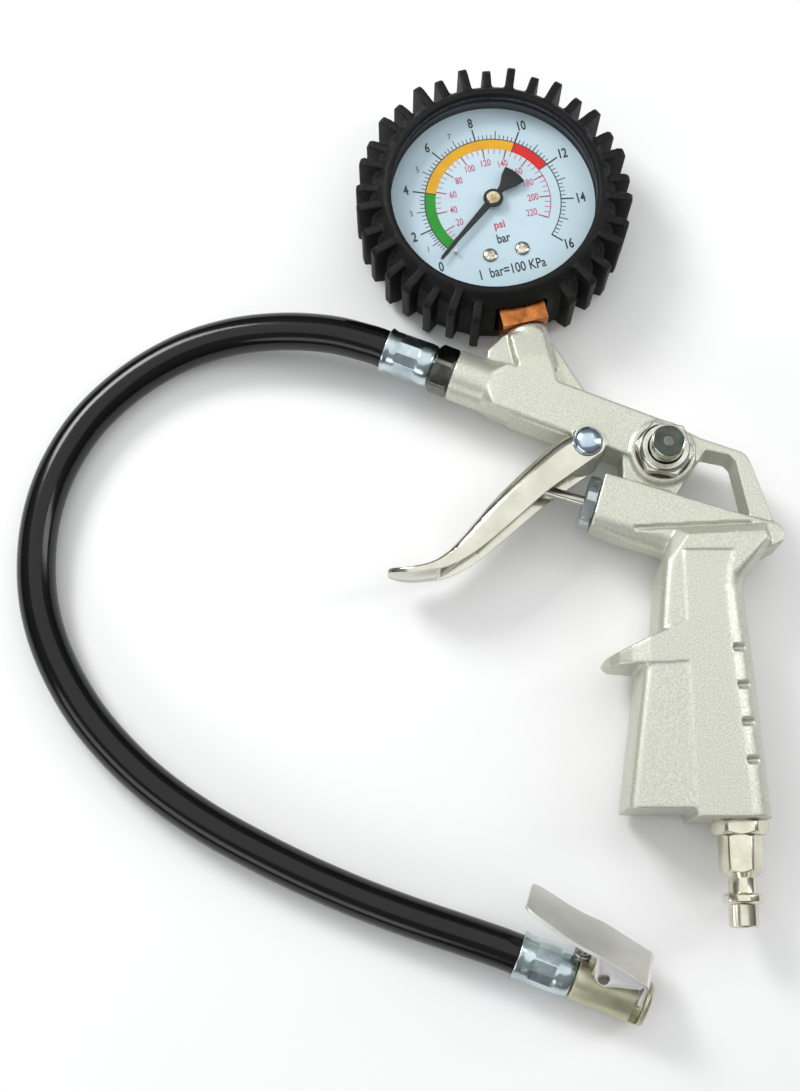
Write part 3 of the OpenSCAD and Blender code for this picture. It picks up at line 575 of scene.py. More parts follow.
def round_rims(obj, width, segments, angle):
    """Eases an object's sharp rims, and shades it smooth between them."""
    modifier = obj.modifiers.new("edges", "BEVEL")
    modifier.width = width * MM
    modifier.segments = segments
    modifier.limit_method = "ANGLE"
    modifier.angle_limit = radians(angle)
    settle(obj)
    bm = opened(obj.data)
    crease(bm, 38)
    bm.to_mesh(obj.data)
    bm.free()


def merged_copy(node, name, material):
    """A copy of a CAD node's mesh with its loose triangles merged and its flat faces whole."""
    bm = opened(frame["nodes"][node].data)
    bmesh.ops.remove_doubles(bm, verts=bm.verts, dist=2e-6)
    bmesh.ops.dissolve_limit(bm, angle_limit=radians(0.6), verts=bm.verts, edges=bm.edges)
    mesh = mesh_of(name, bm)
    mesh.materials.append(FINISHES[material])
    return added(name, mesh)


def eased(node, name, material, width, segments=3, angle=32):
    """A copy of a CAD node with its edges eased by a small radius."""
    made = merged_copy(node, name, material)
    round_rims(made, width, segments, angle)
    return made


def moulded(node, name, material, grid, rounds, keep):
    """A copy of a CAD node with its edges rounded on a grid in millimetres, and a share of its faces kept."""
    made = merged_copy(node, name, material)
    remesh = made.modifiers.new("grid", "REMESH")
    remesh.mode = "VOXEL"
    remesh.voxel_size = grid * MM
    relax = made.modifiers.new("fillets", "SMOOTH")
    relax.factor = 0.5
    relax.iterations = rounds
    thin = made.modifiers.new("thin", "DECIMATE")
    thin.ratio = keep
    settle(made)
    for face in made.data.polygons:
        face.use_smooth = True
    return made


def dress(material, *nodes):
    """Gives CAD nodes that stay in view their finish."""
    for node in nodes:
        obj = frame["nodes"][node]
        if not obj.material_slots:
            obj.data.materials.append(FINISHES[material])
        for place in obj.material_slots:
            place.material = FINISHES[material]


def stands_for(obj, body, slot, *nodes):
    """Lets a piece ride on a body in place of CAD nodes."""
    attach(obj, body)
    if nodes:
        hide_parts(*nodes)


# ---- Sizes and settings that a user would change ----
class InflatorDial(bpy.types.PropertyGroup):
    band_inner: FloatProperty(name="Band inner radius", description="Inner edge of the coloured band, in mm",
                              default=17.6)
    band_outer: FloatProperty(name="Band outer radius", description="Outer edge of the coloured band, in mm",
                              default=20.9)
    zero: FloatProperty(name="Zero angle", description="Angle of the zero mark on the dial",
                        subtype="ANGLE", default=radians(217.8))
    needle_reach: FloatProperty(name="Needle reach", description="Length of the needle from its hub, in mm",
                                default=25.8)


class InflatorBody(bpy.types.PropertyGroup):
    grain: FloatProperty(name="Casting grid", description="Grid that the casting is rounded on, in mm",
                         default=0.45)
    fillet: IntProperty(name="Casting fillet", description="Rounds of smoothing on the casting's edges",
                        default=3)
    rubber: FloatProperty(name="Boot grid", description="Grid that the boot is rounded on, in mm",
                          default=0.42)


class InflatorHose(bpy.types.PropertyGroup):
    diameter: FloatProperty(name="Hose diameter", description="Outer diameter of the hose, in mm",
                            default=11.5)
    length: FloatProperty(name="Hose length", description="Length between the ferrules",
                          subtype="DISTANCE", default=0.345)
    crimps: IntProperty(name="Crimps", description="Pressed flats round each ferrule", default=12)


class InflatorLook(bpy.types.PropertyGroup):
    focal: FloatProperty(name="Focal length", description="Camera's focal length, in mm", default=55.77)
    light: FloatProperty(name="Light", description="Strength of the studio lights", default=1.0)


class Make(bpy.types.Operator):
    """Shared by every operator here: build() makes the piece, and raises where it can't."""
    bl_options = {"REGISTER", "UNDO"}

    def execute(self, context):
        self.build(context.scene)
        return {"FINISHED"}


# ---- Studio ----
class INFLATOR_OT_stage(Make):
    """Floor, lights, sky and camera."""
    bl_idname = "inflator.stage"
    bl_label = "Stage"

    # What the camera looks at, how far away it stands in metres, and how high up in degrees
    target = Vector((-0.049, -0.020, 0.0135))
    distance = 0.497
    elevation = 76
    # Each softbox with its place, what it is aimed at, its size in metres and its power in watts
    softboxes = {
        "overhead": ((-0.08, 0.16, 0.9), (-0.05, -0.02, 0), (1.3, 1.1), 4.2),
        "key": ((-0.55, 0.5, 0.6), (-0.05, 0, 0), (0.3, 0.3), 4.4),
        "side": ((0.7, 0.15, 0.5), (0, -0.02, 0), (0.2, 0.6), 2.0),
        "low": ((-0.5, -0.5, 0.3), (0, -0.05, 0), (0.7, 0.25), 1.3),
    }

    def lamps(self, strength):
        """The softboxes, brighter or dimmer by the same share."""
        for name, (place, aim, size, power) in self.softboxes.items():
            light = bpy.data.lights.new(name, "AREA")
            light.shape = "RECTANGLE"
            light.size, light.size_y = size
            light.energy = power * strength
            lamp = added(name, light)
            lamp.location = place
            lamp.rotation_euler = (Vector(aim) - Vector(place)).to_track_quat("-Z", "Y").to_euler()

    def sky(self):
        """Bright overhead and dark low down, so that plated metal has something to reflect."""
        world = bpy.data.worlds.new("studio")
        world.use_nodes = True
        tree = world.node_tree
        coords = tree.nodes.new("ShaderNodeTexCoord")
        split = tree.nodes.new("ShaderNodeSeparateXYZ")
        tree.links.new(coords.outputs["Generated"], split.inputs["Vector"])
        up = remap(tree, split.outputs["Z"], 0.05, 0.75, 0, 1)
        colour = blend_colours(tree, up, (0.07, 0.072, 0.076, 1), (0.3, 0.305, 0.31, 1))
        tree.links.new(colour, tree.nodes["Background"].inputs["Color"])
        return world

    def ground(self):
        """A wide floor, just under the ground plane."""
        half, drop = 3, -0.0002
        corners = [(-half, -half, drop), (half, -half, drop), (half, half, drop), (-half, half, drop)]
        mesh = bpy.data.meshes.new("floor")
        mesh.from_pydata(corners, [], [(0, 1, 2, 3)])
        mesh.materials.append(FINISHES["floor"])
        return added("floor", mesh)

    def build(self, scene):
        look = scene.inflator_look
        scene.view_settings.view_transform = "Standard"
        self.ground()
        scene.world = self.sky()
        self.lamps(look.light)
        camera = bpy.data.cameras.new("camera")
        camera.sensor_fit = "VERTICAL"
        camera.sensor_height = 36
        camera.lens = look.focal
        camera.clip_start = 0.01
        eye = added("camera", camera)
        up = radians(self.elevation)
        eye.location = self.target + self.distance * Vector((0, -cos(up), sin(up)))
        eye.rotation_euler = (pi / 2 - up, 0, 0)
        scene.camera = eye


# ---- Hose ----
class INFLATOR_OT_hose(Make):
    """The rubber hose, a tube swept along a fixed route to the chuck and carried by the body."""
    bl_idname = "inflator.hose"
    bl_label = "Hose"

    def build(self, scene):
        hose = scene.inflator_hose
        line = smooth_line(HOSE_ROUTE, 6)
        tube = piece("hose_tube", sweep(line, hose.diameter / 2, 32), "hose", sharp=50)
        stands_for(tube, "body", "hose_rubber", "hose")
        kept = ("chuck_barb", "chuck_seal", "valve_depressor", "chuck_lever_pin")
        made = ("chuck_ferrule_shell", "chuck_shell", "clip_lever", "clip_spring")
        with_pieces = [frame["nodes"][node] for node in kept]
        with_pieces += [bpy.data.objects[name] for name in made]


class INFLATOR_OT_ferrules(Make):
    """The two ferrules crimped on the hose, and the nipple's hexagon."""
    bl_idname = "inflator.ferrules"
    bl_label = "Ferrules"

    # How far a flat is from the axis, as a share of the radius, and the slope at its ends in mm
    pressed = 0.968
    slope = 0.7

    def shell(self, hose, name, node, mouth, front, length, place):
        """A ferrule turned from its flared mouth to its front, with flats pressed round its middle."""
        crimp_start, crimp_end = 0.24 * length, 0.72 * length
        crimp = 2 * pi / hose.crimps

        def reach(angle, z):
            rising = min(max((z - crimp_start) / self.slope, 0), 1)
            falling = min(max((crimp_end - z) / self.slope, 0), 1)
            off_middle = (angle / crimp + 0.5) % 1 - 0.5
            flat = min(1, self.pressed / cos(off_middle * crimp))
            return 1 - rising * falling * (1 - flat)

        outside = [(mouth - 0.1, 0), (mouth + 0.05, 0.25), (mouth - 0.05, 0.7), (mouth - 0.35, 1.6)]
        back, steps = mouth - 0.4, 40
        outside += [(back + (front + 0.25 - back) * k / steps, 2.0 + (length - 4.4) * k / steps)
                    for k in range(steps + 1)]
        outside += [(front + 0.15, length - 1.6), (front, length - 0.9), (front - 0.3, length - 0.3),
                    (front - 0.8, length)]
        inside = hose.diameter / 2 + 0.05
        profile = [(inside, 0)] + outside + [(3.9, length), (3.9, length - 0.8), (inside, length - 1.4)]
        made = piece(name, lathe(profile, 240, reach), "ferrule", place, 60)
        stands_for(made, "body", "zinc_ferrule", node)

    def build(self, scene):
        hose = scene.inflator_hose
        before_barrel = BARREL @ LAY_ALONG_X @ Matrix.Translation((0, 0, -22))
        self.shell(hose, "gun_ferrule_shell", "gun_ferrule", 6.85, 6.4, 15.5, before_barrel)
        self.shell(hose, "chuck_ferrule_shell", "chuck_ferrule", 7, 6.3, 16.6, CHUCK @ LAY_ALONG_X)
        nut = eased("hose_nipple", "nipple_hexagon", "dark_zinc", 0.35)
        stands_for(nut, "body", "dark_zinc", "hose_nipple")


# ---- Body ----
class INFLATOR_OT_casting(Make):
    """The die-cast pistol body, with the small fillets that a casting has on every edge."""
    bl_idname = "inflator.casting"
    bl_label = "Casting"

    def build(self, scene):
        sizes = scene.inflator_body
        body = moulded("gun_casting", "pistol_casting", "casting", sizes.grain, sizes.fillet, 0.45)
        stands_for(body, "body", "casting", "gun_casting")


# ---- Gauge ----
class INFLATOR_OT_boot(Make):
    """The ribbed rubber boot round the gauge."""
    bl_idname = "inflator.boot"
    bl_label = "Boot"

    def build(self, scene):
        wall = moulded("gauge_boot", "boot_with_lugs", "boot", scene.inflator_body.rubber, 2, 0.6)
        stands_for(wall, "body", "boot", "gauge_boot")


class INFLATOR_OT_gauge(Make):
    """Case, bezel, window, gasket and the copper socket."""
    bl_idname = "inflator.gauge"
    bl_label = "Gauge"

    def build(self, scene):
        dress("case", "gauge_case")
        dress("seal", "lens_gasket")
        low, high = heights("gauge_bezel")
        outer = radius_of("gauge_bezel")
        lip, step, seat = outer - 1.68, outer - 0.75, low + 2.08
        profile = [(outer, low), (outer, high - 0.3), (outer - 0.3, high), (outer - 1.2, high),
                   (outer - 1.5, high - 0.3), (lip, seat), (step, seat), (step, low)]
        ring = piece("bezel_ring", lathe(profile, 192), "bezel", GAUGE, 50)
        stands_for(ring, "body", "bezel_steel", "gauge_bezel")
        low, high = heights("gauge_lens")
        edge = radius_of("gauge_lens")
        disc = lathe([(0, low), (edge, low), (edge, high - 0.4), (edge - 0.4, high), (0, high)], 192)
        window = piece("window", disc, "window", GAUGE, 40)
        stands_for(window, "body", "lens", "gauge_lens")
        block = eased("gauge_socket", "socket_block", "copper", 0.9, 4)
        stands_for(block, "body", "stem_copper", "gauge_socket")


class INFLATOR_OT_dial(Make):
    """The dial plate with its printed scale, screws and zero pin."""
    bl_idname = "inflator.dial"
    bl_label = "Dial"

    # Degrees for one bar below and above 2 bar, and how the two units compare
    fine, coarse = 12.15, 17
    psi_per_bar = 14.5

    def bar_angle(self, scene, bar):
        """Angle in degrees of a pressure in bar: the first 2 bar are closer together."""
        zero = scene.inflator_dial.zero * 180 / pi
        return zero - self.fine * bar if bar < 2 else zero - 2 * self.fine - self.coarse * (bar - 2)

    def strip(self, inner, outer, start, end, lift=0.0):
        """A printed arc, raised off the dial by its ink."""
        steps = max(2, int(abs(end - start) / 2))
        outline = arc(outer, start, end, steps) + arc(inner, end, start, steps)
        return prism(outline, DIAL_FACE + 0.004 + lift, DIAL_FACE + 0.024 + lift)

    def ticks(self, material, inner, outer, width, count, start, step=0.0):
        """A row of equal ticks, with its angles in degrees."""
        half = width / 2
        outline = [(inner, -half), (outer, -half), (outer, half), (inner, half)]
        tick = prism(outline, DIAL_FACE + 0.03, DIAL_FACE + 0.06)
        return repeated("ticks", tick, material, count, start, step, DIAL)

    def label(self, text, size, x, y, material, squeeze, weight):
        """Generic figures and units, upright on the dial."""
        curve = bpy.data.curves.new("label", "FONT")
        curve.body = text
        curve.align_x, curve.align_y = "CENTER", "CENTER"
        curve.size = size
        curve.offset = weight
        curve.extrude = 0.015
        curve.resolution_u = 3
        holder = added("label", curve)
        bpy.context.view_layer.update()
        graph = bpy.context.evaluated_depsgraph_get()
        mesh = bpy.data.meshes.new_from_object(holder.evaluated_get(graph))
        bpy.data.objects.remove(holder)
        bm = opened(mesh)
        bpy.data.meshes.remove(mesh)
        bmesh.ops.remove_doubles(bm, verts=bm.verts, dist=1e-5)
        moved(bm, Matrix.Translation((x, y, DIAL_FACE + 0.045)) @ Matrix.Diagonal((squeeze, 1, 1, 1)))
        return piece("label", bm, material, DIAL)

    def on_circle(self, radius, angle):
        return radius * cos(radians(angle)), radius * sin(radians(angle))

    def bands(self, scene):
        """The coloured bands, each from one pressure in bar to another."""
        sizes = scene.inflator_dial
        for name, start, end in (("green", 0, 4), ("amber", 4, 10), ("red", 10, 12)):
            band = self.strip(sizes.band_inner, sizes.band_outer, self.bar_angle(scene, start),
                              self.bar_angle(scene, end))
            stands_for(piece(f"{name}_band", band, name, DIAL), "body", "dial_face")

    def scale_marks(self, scene):
        """Every tick of both scales, and the two thin arcs that carry them."""
        out, inn = scene.inflator_dial.band_outer, scene.inflator_dial.band_inner

        def bar(pressure):
            return self.bar_angle(scene, pressure)

        def psi(pressure):
            return self.bar_angle(scene, pressure / self.psi_per_bar)

        two_bar = 2 * self.coarse
        black = [self.ticks("black", *row) for row in (
            (out - 0.1, out + 1.5, 0.24, 10, bar(0), -self.fine / 5),
            (out - 0.1, out + 1.5, 0.24, 71, bar(2), -self.coarse / 5),
            (out - 3.2, out + 3.9, 0.44, 1, bar(0)),
            (out - 0.1, out + 3.9, 0.44, 8, bar(2), -two_bar),
            (inn, out, 0.32, 1, bar(4)),
            (inn, out, 0.32, 2, bar(10), -two_bar))]
        black.append(piece("arc", self.strip(out - 0.15, out + 0.15, bar(0), bar(16), 0.03), "black", DIAL))
        grey = [self.ticks("grey", out, out + 2.8, 0.28, *row) for row in (
            (1, bar(1)),
            (7, bar(3), -two_bar))]
        step = self.coarse * 20 / self.psi_per_bar
        magenta = [self.ticks("magenta", *row) for row in (
            (inn - 1.7, inn + 0.1, 0.2, 4, bar(0), (psi(20) - bar(0)) / 4),
            (inn - 1.7, inn + 0.1, 0.2, 37, psi(40), -step / 4),
            (inn - 3.2, inn + 0.1, 0.36, 1, psi(20)),
            (inn - 3.2, inn + 0.1, 0.36, 10, psi(40), -step))]
        magenta.append(piece("arc", self.strip(inn, inn + 0.28, bar(12), psi(220)), "magenta", DIAL))
        return black, grey, magenta

    def figures(self, scene):
        """The numbers of both scales, and the names of their units."""
        black, grey, magenta = [], [], []
        for bar in range(0, 17, 2):
            aside = 0 if bar else 2.9
            x, y = self.on_circle(26.9, self.bar_angle(scene, bar) + aside)
            black.append(self.label(str(bar), 4.4, x, y, "black", 0.7, 0.11))
        for bar in (1, 3, 5, 7):
            x, y = self.on_circle(25.4, self.bar_angle(scene, bar))
            grey.append(self.label(str(bar), 2.7, x, y, "grey", 0.75, 0.03))
        for psi in range(20, 221, 20):
            radius = 12.9 if psi in (100, 120, 140) else 12.4
            x, y = self.on_circle(radius, self.bar_angle(scene, psi / self.psi_per_bar))
            magenta.append(self.label(str(psi), 3.2, x, y, "magenta", 0.72, 0.02))
        magenta.append(self.label("psi", 3.6, 0.1, -7.9, "magenta", 0.9, 0.07))
        black.append(self.label("bar", 4.2, 0.2, -12.6, "black", 0.75, 0.08))
        black.append(self.label("1  bar=100 KPa", 4.5, 0.4, -22.9, "black", 0.74, 0.06))
        return black, grey, magenta

    def screws(self):
        """Two pan heads with a cross recess."""
        dome = [(2.35 * cos(radians(a)), 1.05 * sin(radians(a))) for a in range(0, 86, 8)]
        left = piece("screw_head", lathe([(0, 0)] + dome + [(0, 1.06)], 48), "screw", sharp=60)
        for turn in (20, 110):
            bar = prism([(-1.5, -0.28), (1.5, -0.28), (1.5, 0.28), (-1.5, 0.28)], 0.5, 2)
            turned = moved(bar, Matrix.Rotation(radians(turn), 4, "Z"))
            carve(left, piece("recess", turned, "screw"))
        right = added("screw_head", left.data.copy())
        spread, drop = 5.0, -17.1
        for head, x, turn in ((left, -spread, 15), (right, spread, 70)):
            spin = Matrix.Rotation(radians(turn), 4, "Z")
            head.data.transform(in_metres(DIAL @ Matrix.Translation((x, drop, DIAL_FACE)) @ spin))
        return gather("screw_heads", [left, right])

    def build(self, scene):
        dress("dial", "dial_plate")
        dress("screw", "stop_pin")
        self.bands(scene)
        inks = ("black_print", "grey_print", "magenta_print")
        for name, marks, figures in zip(inks, self.scale_marks(scene), self.figures(scene)):
            stands_for(gather(name, marks + figures), "body", "dial_face")
        stands_for(self.screws(), "body", "plated_screw", "dial_screws")


class INFLATOR_OT_needle(Make):
    """The needle with its fan-shaped tail, and its turned hub."""
    bl_idname = "inflator.needle"
    bl_label = "Needle"

    def build(self, scene):
        reach = scene.inflator_dial.needle_reach
        neck = [(-2.9, 0.95), (-4.4, 1.15), (-6.0, 1.9), (-7.6, 2.9)]
        outline = [(reach, 0), (reach - 1.2, 0.36), (2.6, 1.15)] + arc(2.7, 40, 140, 8) + neck
        outline += arc(11.2, 180 - 19.5, 180 + 19.5, 14)
        outline += [(x, -y) for x, y in reversed(neck)] + arc(2.7, 220, 320, 8)
        outline += [(2.6, -1.15), (reach - 1.2, -0.36)]
        low = heights("pointer")[0]
        top = low + 0.5
        turn = GAUGE @ Matrix.Rotation(scene.inflator_dial.zero + DIAL_TILT, 4, "Z")
        needle = piece("needle_blade", prism(outline, low, top, 0.12), "pointer", turn)
        stands_for(needle, "needle", "pointer_black", "pointer")
        black = [(0, 0), (3.0, 0), (3.05, 0.25), (2.85, 0.5), (0, 0.5)]
        brass = [(0, 0.45), (2.15, 0.45), (2.15, 0.75), (1.95, 1.0), (1.5, 1.1), (1.2, 1.02), (0.75, 1.02),
                 (0.6, 1.14), (0, 1.16)]
        hub = gather("needle_hub", [
            piece(name, lathe([(r, top + z) for r, z in profile], 64), material, turn)
            for name, profile, material in (("hub_ring", black, "pointer"), ("hub_cap", brass, "hub"))])
        stands_for(hub, "needle", "hub_brass", "pointer_hub")


class INFLATOR_OT_movement(Make):
    """The gauge's works behind the dial."""
    bl_idname = "inflator.movement"
    bl_label = "Movement"

    def build(self, scene):
        dress("brass", "bourdon_tube", "movement_plates", "movement_pillars", "pinion_arbor",
              "sector_gear", "movement_link")
        z = middle("hairspring").z
        turns, steps = 4, 120
        line = []
        for k in range(steps + 1):
            radius = 1.2 + 3.2 * k / steps
            angle = 2 * pi * turns * k / steps
            line.append(Vector((radius * cos(angle), radius * sin(angle), z)))
        spiral = piece("hair_spiral", sweep(line, 0.15, 6), "brass", DIAL)
        stands_for(spiral, "needle", "movement_brass", "hairspring")


# ---- Trigger and valve ----
class INFLATOR_OT_trigger(Make):
    """The squeeze lever and its domed rivet."""
    bl_idname = "inflator.trigger"
    bl_label = "Trigger"

    # Half the lever's width, the sheet's thickness, and the outside and inside radius of its bends
    half, wall = 10.2, 1.4
    bend, inner_bend = 4.4, 3.1
    # Where the lever starts to narrow, and the length that it narrows over
    shoulder, narrowing = -2, 50.8
    # The side that faces the grip, the back, and the back's inner face
    under = [(9.6, 5.4), (1.8, -0.2), (-5.6, -5.5), (-11.5, -10.6), (-20.2, -18.2), (-27.5, -24),
             (-34.7, -27.9), (-40.4, -29), (-46, -29.6), (-51.4, -29.2), (-52.6, -28.6)]
    over = [(-52, -27.8), (-46.1, -27.9), (-40.4, -26.7), (-36.1, -24.2), (-31.7, -19.8), (-20.1, -6.3),
            (-4.4, 8.5), (2.4, 12.6)]
    inside = [(-37.6, -27.0), (-30.7, -20.9), (-19.1, -7.4), (-3.4, 7.3), (1, 11)]

    def taper(self, x):
        """The lever narrows smoothly to a rounded tip."""
        if x > self.shoulder:
            return 1.0
        u = min(1, (self.shoulder - x) / self.narrowing)
        tip = max(0, (u - 0.8) / 0.2)
        return (1 - 0.2 * u - 0.12 * u ** 3) * sqrt(max(0.05, 1 - 0.82 * tip ** 2.4))

    def curve(self, points, steps):
        return [tuple(p) for p in smooth_line(points, steps)]

    def depth(self, x, y):
        """How far the lever's far side is from a point on its back."""
        return min(sqrt((x - a) ** 2 + (y - b) ** 2) for a, b in self.curve(self.under, 6))

    def pressed(self, outline, rounded, half, radius):
        """A prism rounded along a curve, by less where it is thin, which narrows to the tip."""
        bm = prism(outline, -half, half)
        weight = bm.edges.layers.float.new("bevel_weight_edge")
        depths = {(round(x, 3), round(y, 3)): self.depth(x, y) for x, y in rounded}
        for edge in bm.edges:
            ends = [depths.get((round(v.co.x, 3), round(v.co.y, 3))) for v in edge.verts]
            if None not in ends and abs(edge.verts[0].co.z - edge.verts[1].co.z) < 0.01:
                edge[weight] = min(1, 0.42 * min(ends) / radius)
        blank = added("blank", mesh_of("blank", bm))
        modifier = blank.modifiers.new("rounding", "BEVEL")
        modifier.limit_method = "WEIGHT"
        modifier.width = radius
        modifier.segments = 10
        modifier.use_clamp_overlap = False
        settle(blank)
        bm = opened(blank.data)
        bpy.data.objects.remove(blank)
        for x in range(-51, 15, 2):
            bmesh.ops.bisect_plane(bm, geom=bm.verts[:] + bm.edges[:] + bm.faces[:], plane_co=(x, 0, 0),
                                   plane_no=(1, 0, 0))
        for v in bm.verts:
            v.co.z *= self.taper(v.co.x)
        return bm

    def lever(self):
        """A channel pressed from sheet, whose two cheeks end in lobes round the rivet."""
        under, over = self.curve(self.under, 3), self.curve(self.over, 4)
        inside = self.curve(self.inside, 4)
        lobe = arc(5.1, 133, -43, 16, PIVOT)
        open_side = [(-2, 18), (20, 20), (20, -14), (-34, -44)]
        place = Matrix.Translation((0, 0, MID_Z))
        solid = self.pressed(under + over + lobe[1:-1], over[:-1], self.half, self.bend)
        channel = piece("squeeze_lever", solid, "lever", place)
        hollow = self.pressed(inside + open_side, inside, self.half - self.wall, self.inner_bend)
        carve(channel, piece("hollow", hollow, "lever", place))
        round_rims(channel, 0.22, 2, 50)
        return channel

    def rivet(self):
        """A shank with a dome at each end."""
        low, high = heights("trigger_rivet")
        half = (high - low) / 2
        radius, rise = 4.5, 2.7
        neck = half - rise
        side = [(radius * sin(radians(a)), neck + rise * cos(radians(a)) ** 0.9) for a in range(0, 90, 6)]
        side += [(radius, neck + 0.1), (radius - 0.1, neck), (2, neck)]
        profile = side + [(r, -z) for r, z in reversed(side)]
        return piece("domed_rivet", lathe(profile, 96), "rivet", Matrix.Translation(PIVOT), 40)

    def build(self, scene):
        stands_for(self.lever(), "trigger", "nickel_lever", "trigger_lever")
        stands_for(self.rivet(), "body", "zinc_rivet", "trigger_rivet")


class INFLATOR_OT_valve(Make):
    """The push pin, packing nut and the valve behind them."""
    bl_idname = "inflator.valve"
    bl_label = "Valve"

    def build(self, scene):
        place = axes_at(VALVE_FRONT, VALVE_AXIS, (0, 0, 1)) @ LAY_ALONG_X
        tip, end, radius = -21.7, 14.6, 1.6
        rod = [(0, tip), (0.9, tip), (1.35, tip + 0.2), (radius, tip + 0.8), (radius, end), (0, end)]
        pin = piece("push_rod", lathe(rod, 48), "steel", place)
        stands_for(pin, "valve_pin", "bright_steel", "push_pin")
        nut = eased("packing_nut", "gland_nut", "nut", 0.3)
        stands_for(nut, "body", "zinc_nut", "packing_nut")
        dress("seal", "valve_poppet", "pin_seal")
        dress("brass", "guide_bush", "valve_seat")
        spring = piece("valve_coil", coil(3.4, 0.4, 15.8, 31.8, 6), "spring", place)
        stands_for(spring, "body", "spring_steel", "valve_spring")


class INFLATOR_OT_bleed(Make):
    """The bleed valve beside the trigger, with its button."""
    bl_idname = "inflator.bleed"
    bl_label = "Bleed valve"

    def collar(self):
        """A hexagon with a turned shoulder over it, and a shank down through the body."""
        base, top = heights("bleed_body")
        flange = heights("bleed_washer")[1]
        well = top - 3.2
        shoulder = [(7.6, flange + 2.2), (7.55, flange + 2.9), (7.2, flange + 3.6), (6.9, top - 0.15),
                    (6.7, top), (5.35, top), (5.16, top - 0.2), (5.15, well + 0.02), (6.15, well + 0.02),
                    (6.15, flange + 2.2)]
        shank = [(1.56, base), (3.3, base), (3.5, base + 0.3), (3.5, flange + 0.1), (1.56, flange + 0.1)]
        nut = prism(hexagon(15.4, 51), flange, flange + 2.8, 0.35, 3)
        flats = piece("bleed_flats", nut, "bleed", BLEED, 35)
        for radius, floor in ((6.2, well), (2.7, flange - 1)):
            drill = [(0, floor), (radius, floor), (radius, flange + 4), (0, flange + 4)]
            carve(flats, piece("drill", lathe(drill, 96), "bleed", BLEED))
        round_parts = joined([lathe(shoulder, 128), lathe(shank, 64)])
        return gather("bleed_collar", [flats, piece("bleed_turned", round_parts, "bleed", BLEED, 35)])

    def button(self):
        """A plated sleeve with a dark face let into its end."""
        low, high = heights("bleed_button")
        bore, radius, face = 1.52, 4.9, high - 0.45
        sleeve = [(bore, low), (radius - 0.2, low), (radius, low + 0.2), (radius, high - 0.6),
                  (radius - 0.15, high - 0.15), (radius - 0.35, high), (4.4, high - 0.08), (4.35, face),
                  (bore, face)]
        insert = [(1.55, face), (4.34, face), (4.3, high - 0.2), (1.9, high - 0.15), (1.55, high - 0.1)]
        return gather("bleed_cap", [piece("bleed_sleeve", lathe(sleeve, 96), "bleed", BLEED, 35),
                                    piece("bleed_insert", lathe(insert, 96), "button", BLEED, 35)])

    def build(self, scene):
        stands_for(self.collar(), "body", "nickel_bleed", "bleed_body")
        stands_for(self.button(), "bleed_plunger", "button_black", "bleed_button")
        dress("fibre", "bleed_washer")
        dress("dark_zinc", "bleed_stem")
        dress("seal", "bleed_seal")
        spring = piece("bleed_coil", coil(2.2, 0.3, *heights("bleed_spring"), 6), "spring", BLEED)
        stands_for(spring, "body", "spring_steel", "bleed_spring")


class INFLATOR_OT_inlet(Make):
    """The adapter and the plug that an air line snaps on to."""
    bl_idname = "inflator.inlet"
    bl_label = "Inlet"

    def build(self, scene):
        adapter = eased("inlet_adapter", "inlet_hexagon", "fitting", 0.25)
        stands_for(adapter, "body", "nickel_fitting", "inlet_adapter")
        plug = eased("inlet_plug", "coupler_plug", "fitting", 0.2)
        stands_for(plug, "body", "nickel_fitting", "inlet_plug")


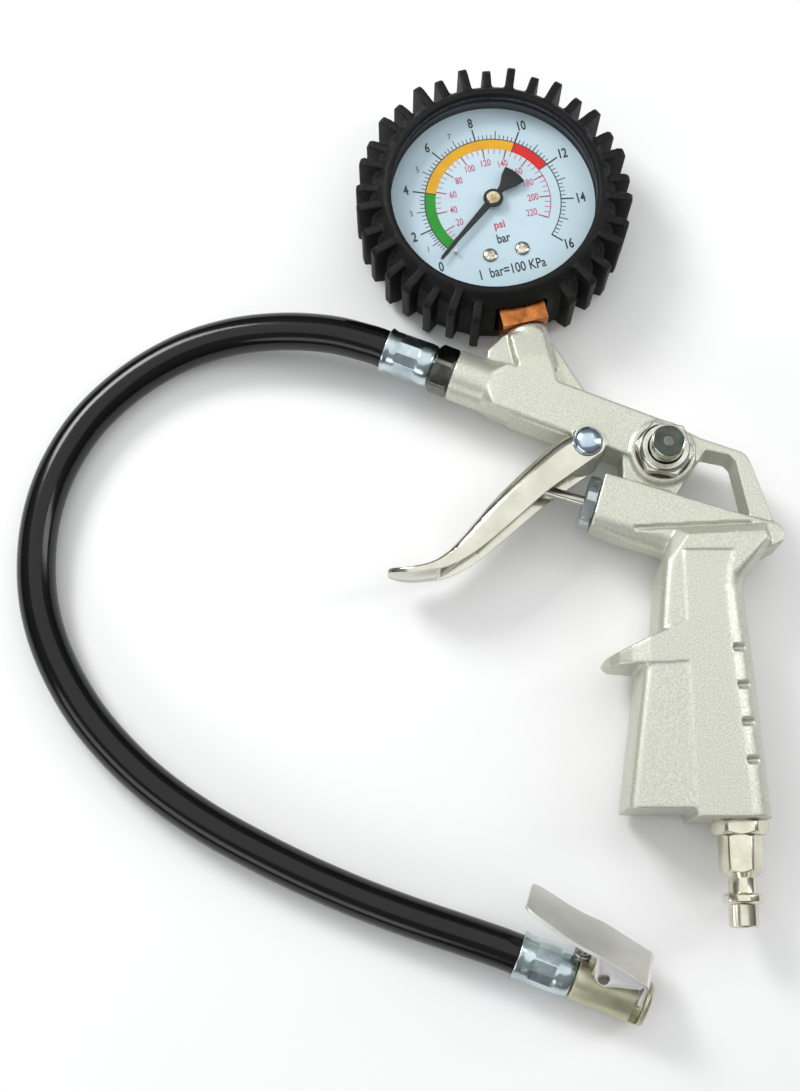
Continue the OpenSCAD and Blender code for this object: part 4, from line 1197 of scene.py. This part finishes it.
# ---- Chuck ----
class INFLATOR_OT_chuck(Make):
    """The clip-on chuck: body, lever, pin and spring."""
    bl_idname = "inflator.chuck"
    bl_label = "Chuck"

    def build(self, scene):
        dress("fitting", "chuck_barb")
        dress("seal", "chuck_seal")
        dress("brass", "valve_depressor")
        dress("steel", "chuck_lever_pin")
        shell = eased("chuck_body", "chuck_shell", "chuck", 0.25)
        stands_for(shell, "body", "nickel_chuck", "chuck_body")
        lever = eased("chuck_lever", "clip_lever", "clip", 0.3, 3, 28)
        stands_for(lever, "chuck_clip", "nickel_lever", "chuck_lever")
        place = CHUCK @ Matrix.Translation((16.6, 0, 6.3))
        spring = piece("clip_spring", coil(2.2, 0.35, 0, 8.3, 5), "spring", place)
        stands_for(spring, "body", "spring_steel", "chuck_spring")


class INFLATOR_PT_sidebar(bpy.types.Panel):
    """Lists the inflator's sizes and pieces."""
    bl_idname = "INFLATOR_PT_sidebar"
    bl_label = "Tyre inflator"
    bl_space_type = "VIEW_3D"
    bl_region_type = "UI"
    bl_category = "Inflator"

    def draw(self, context):
        for group in SETTINGS:
            settings = getattr(context.scene, group)
            for name in settings.bl_rna.properties.keys():
                if name not in ("rna_type", "name"):
                    self.layout.prop(settings, name)
        for operator in OPERATORS:
            self.layout.operator(operator.bl_idname)


SETTINGS = {
    "inflator_dial": InflatorDial, "inflator_body": InflatorBody, "inflator_hose": InflatorHose,
    "inflator_look": InflatorLook,
}
# In the order that they run: the hose comes after the chuck, whose pieces it looks up
OPERATORS = (
    INFLATOR_OT_stage, INFLATOR_OT_ferrules, INFLATOR_OT_chuck, INFLATOR_OT_hose, INFLATOR_OT_casting,
    INFLATOR_OT_boot, INFLATOR_OT_gauge, INFLATOR_OT_dial, INFLATOR_OT_needle, INFLATOR_OT_movement,
    INFLATOR_OT_trigger, INFLATOR_OT_valve, INFLATOR_OT_bleed, INFLATOR_OT_inlet,
)


def register():
    for name, group in SETTINGS.items():
        bpy.utils.register_class(group)
        setattr(bpy.types.Scene, name, PointerProperty(type=group))
    for operator in OPERATORS:
        bpy.utils.register_class(operator)
    bpy.utils.register_class(INFLATOR_PT_sidebar)


def unregister():
    bpy.utils.unregister_class(INFLATOR_PT_sidebar)
    for operator in reversed(OPERATORS):
        bpy.utils.unregister_class(operator)
    for name, group in SETTINGS.items():
        delattr(bpy.types.Scene, name)
        bpy.utils.unregister_class(group)


def main():
    register()
    FINISHES.update(make_finishes())
    for operator in OPERATORS:
        package, name = operator.bl_idname.split(".")
        getattr(getattr(bpy.ops, package), name)()


if __name__ == "__main__":
    main()
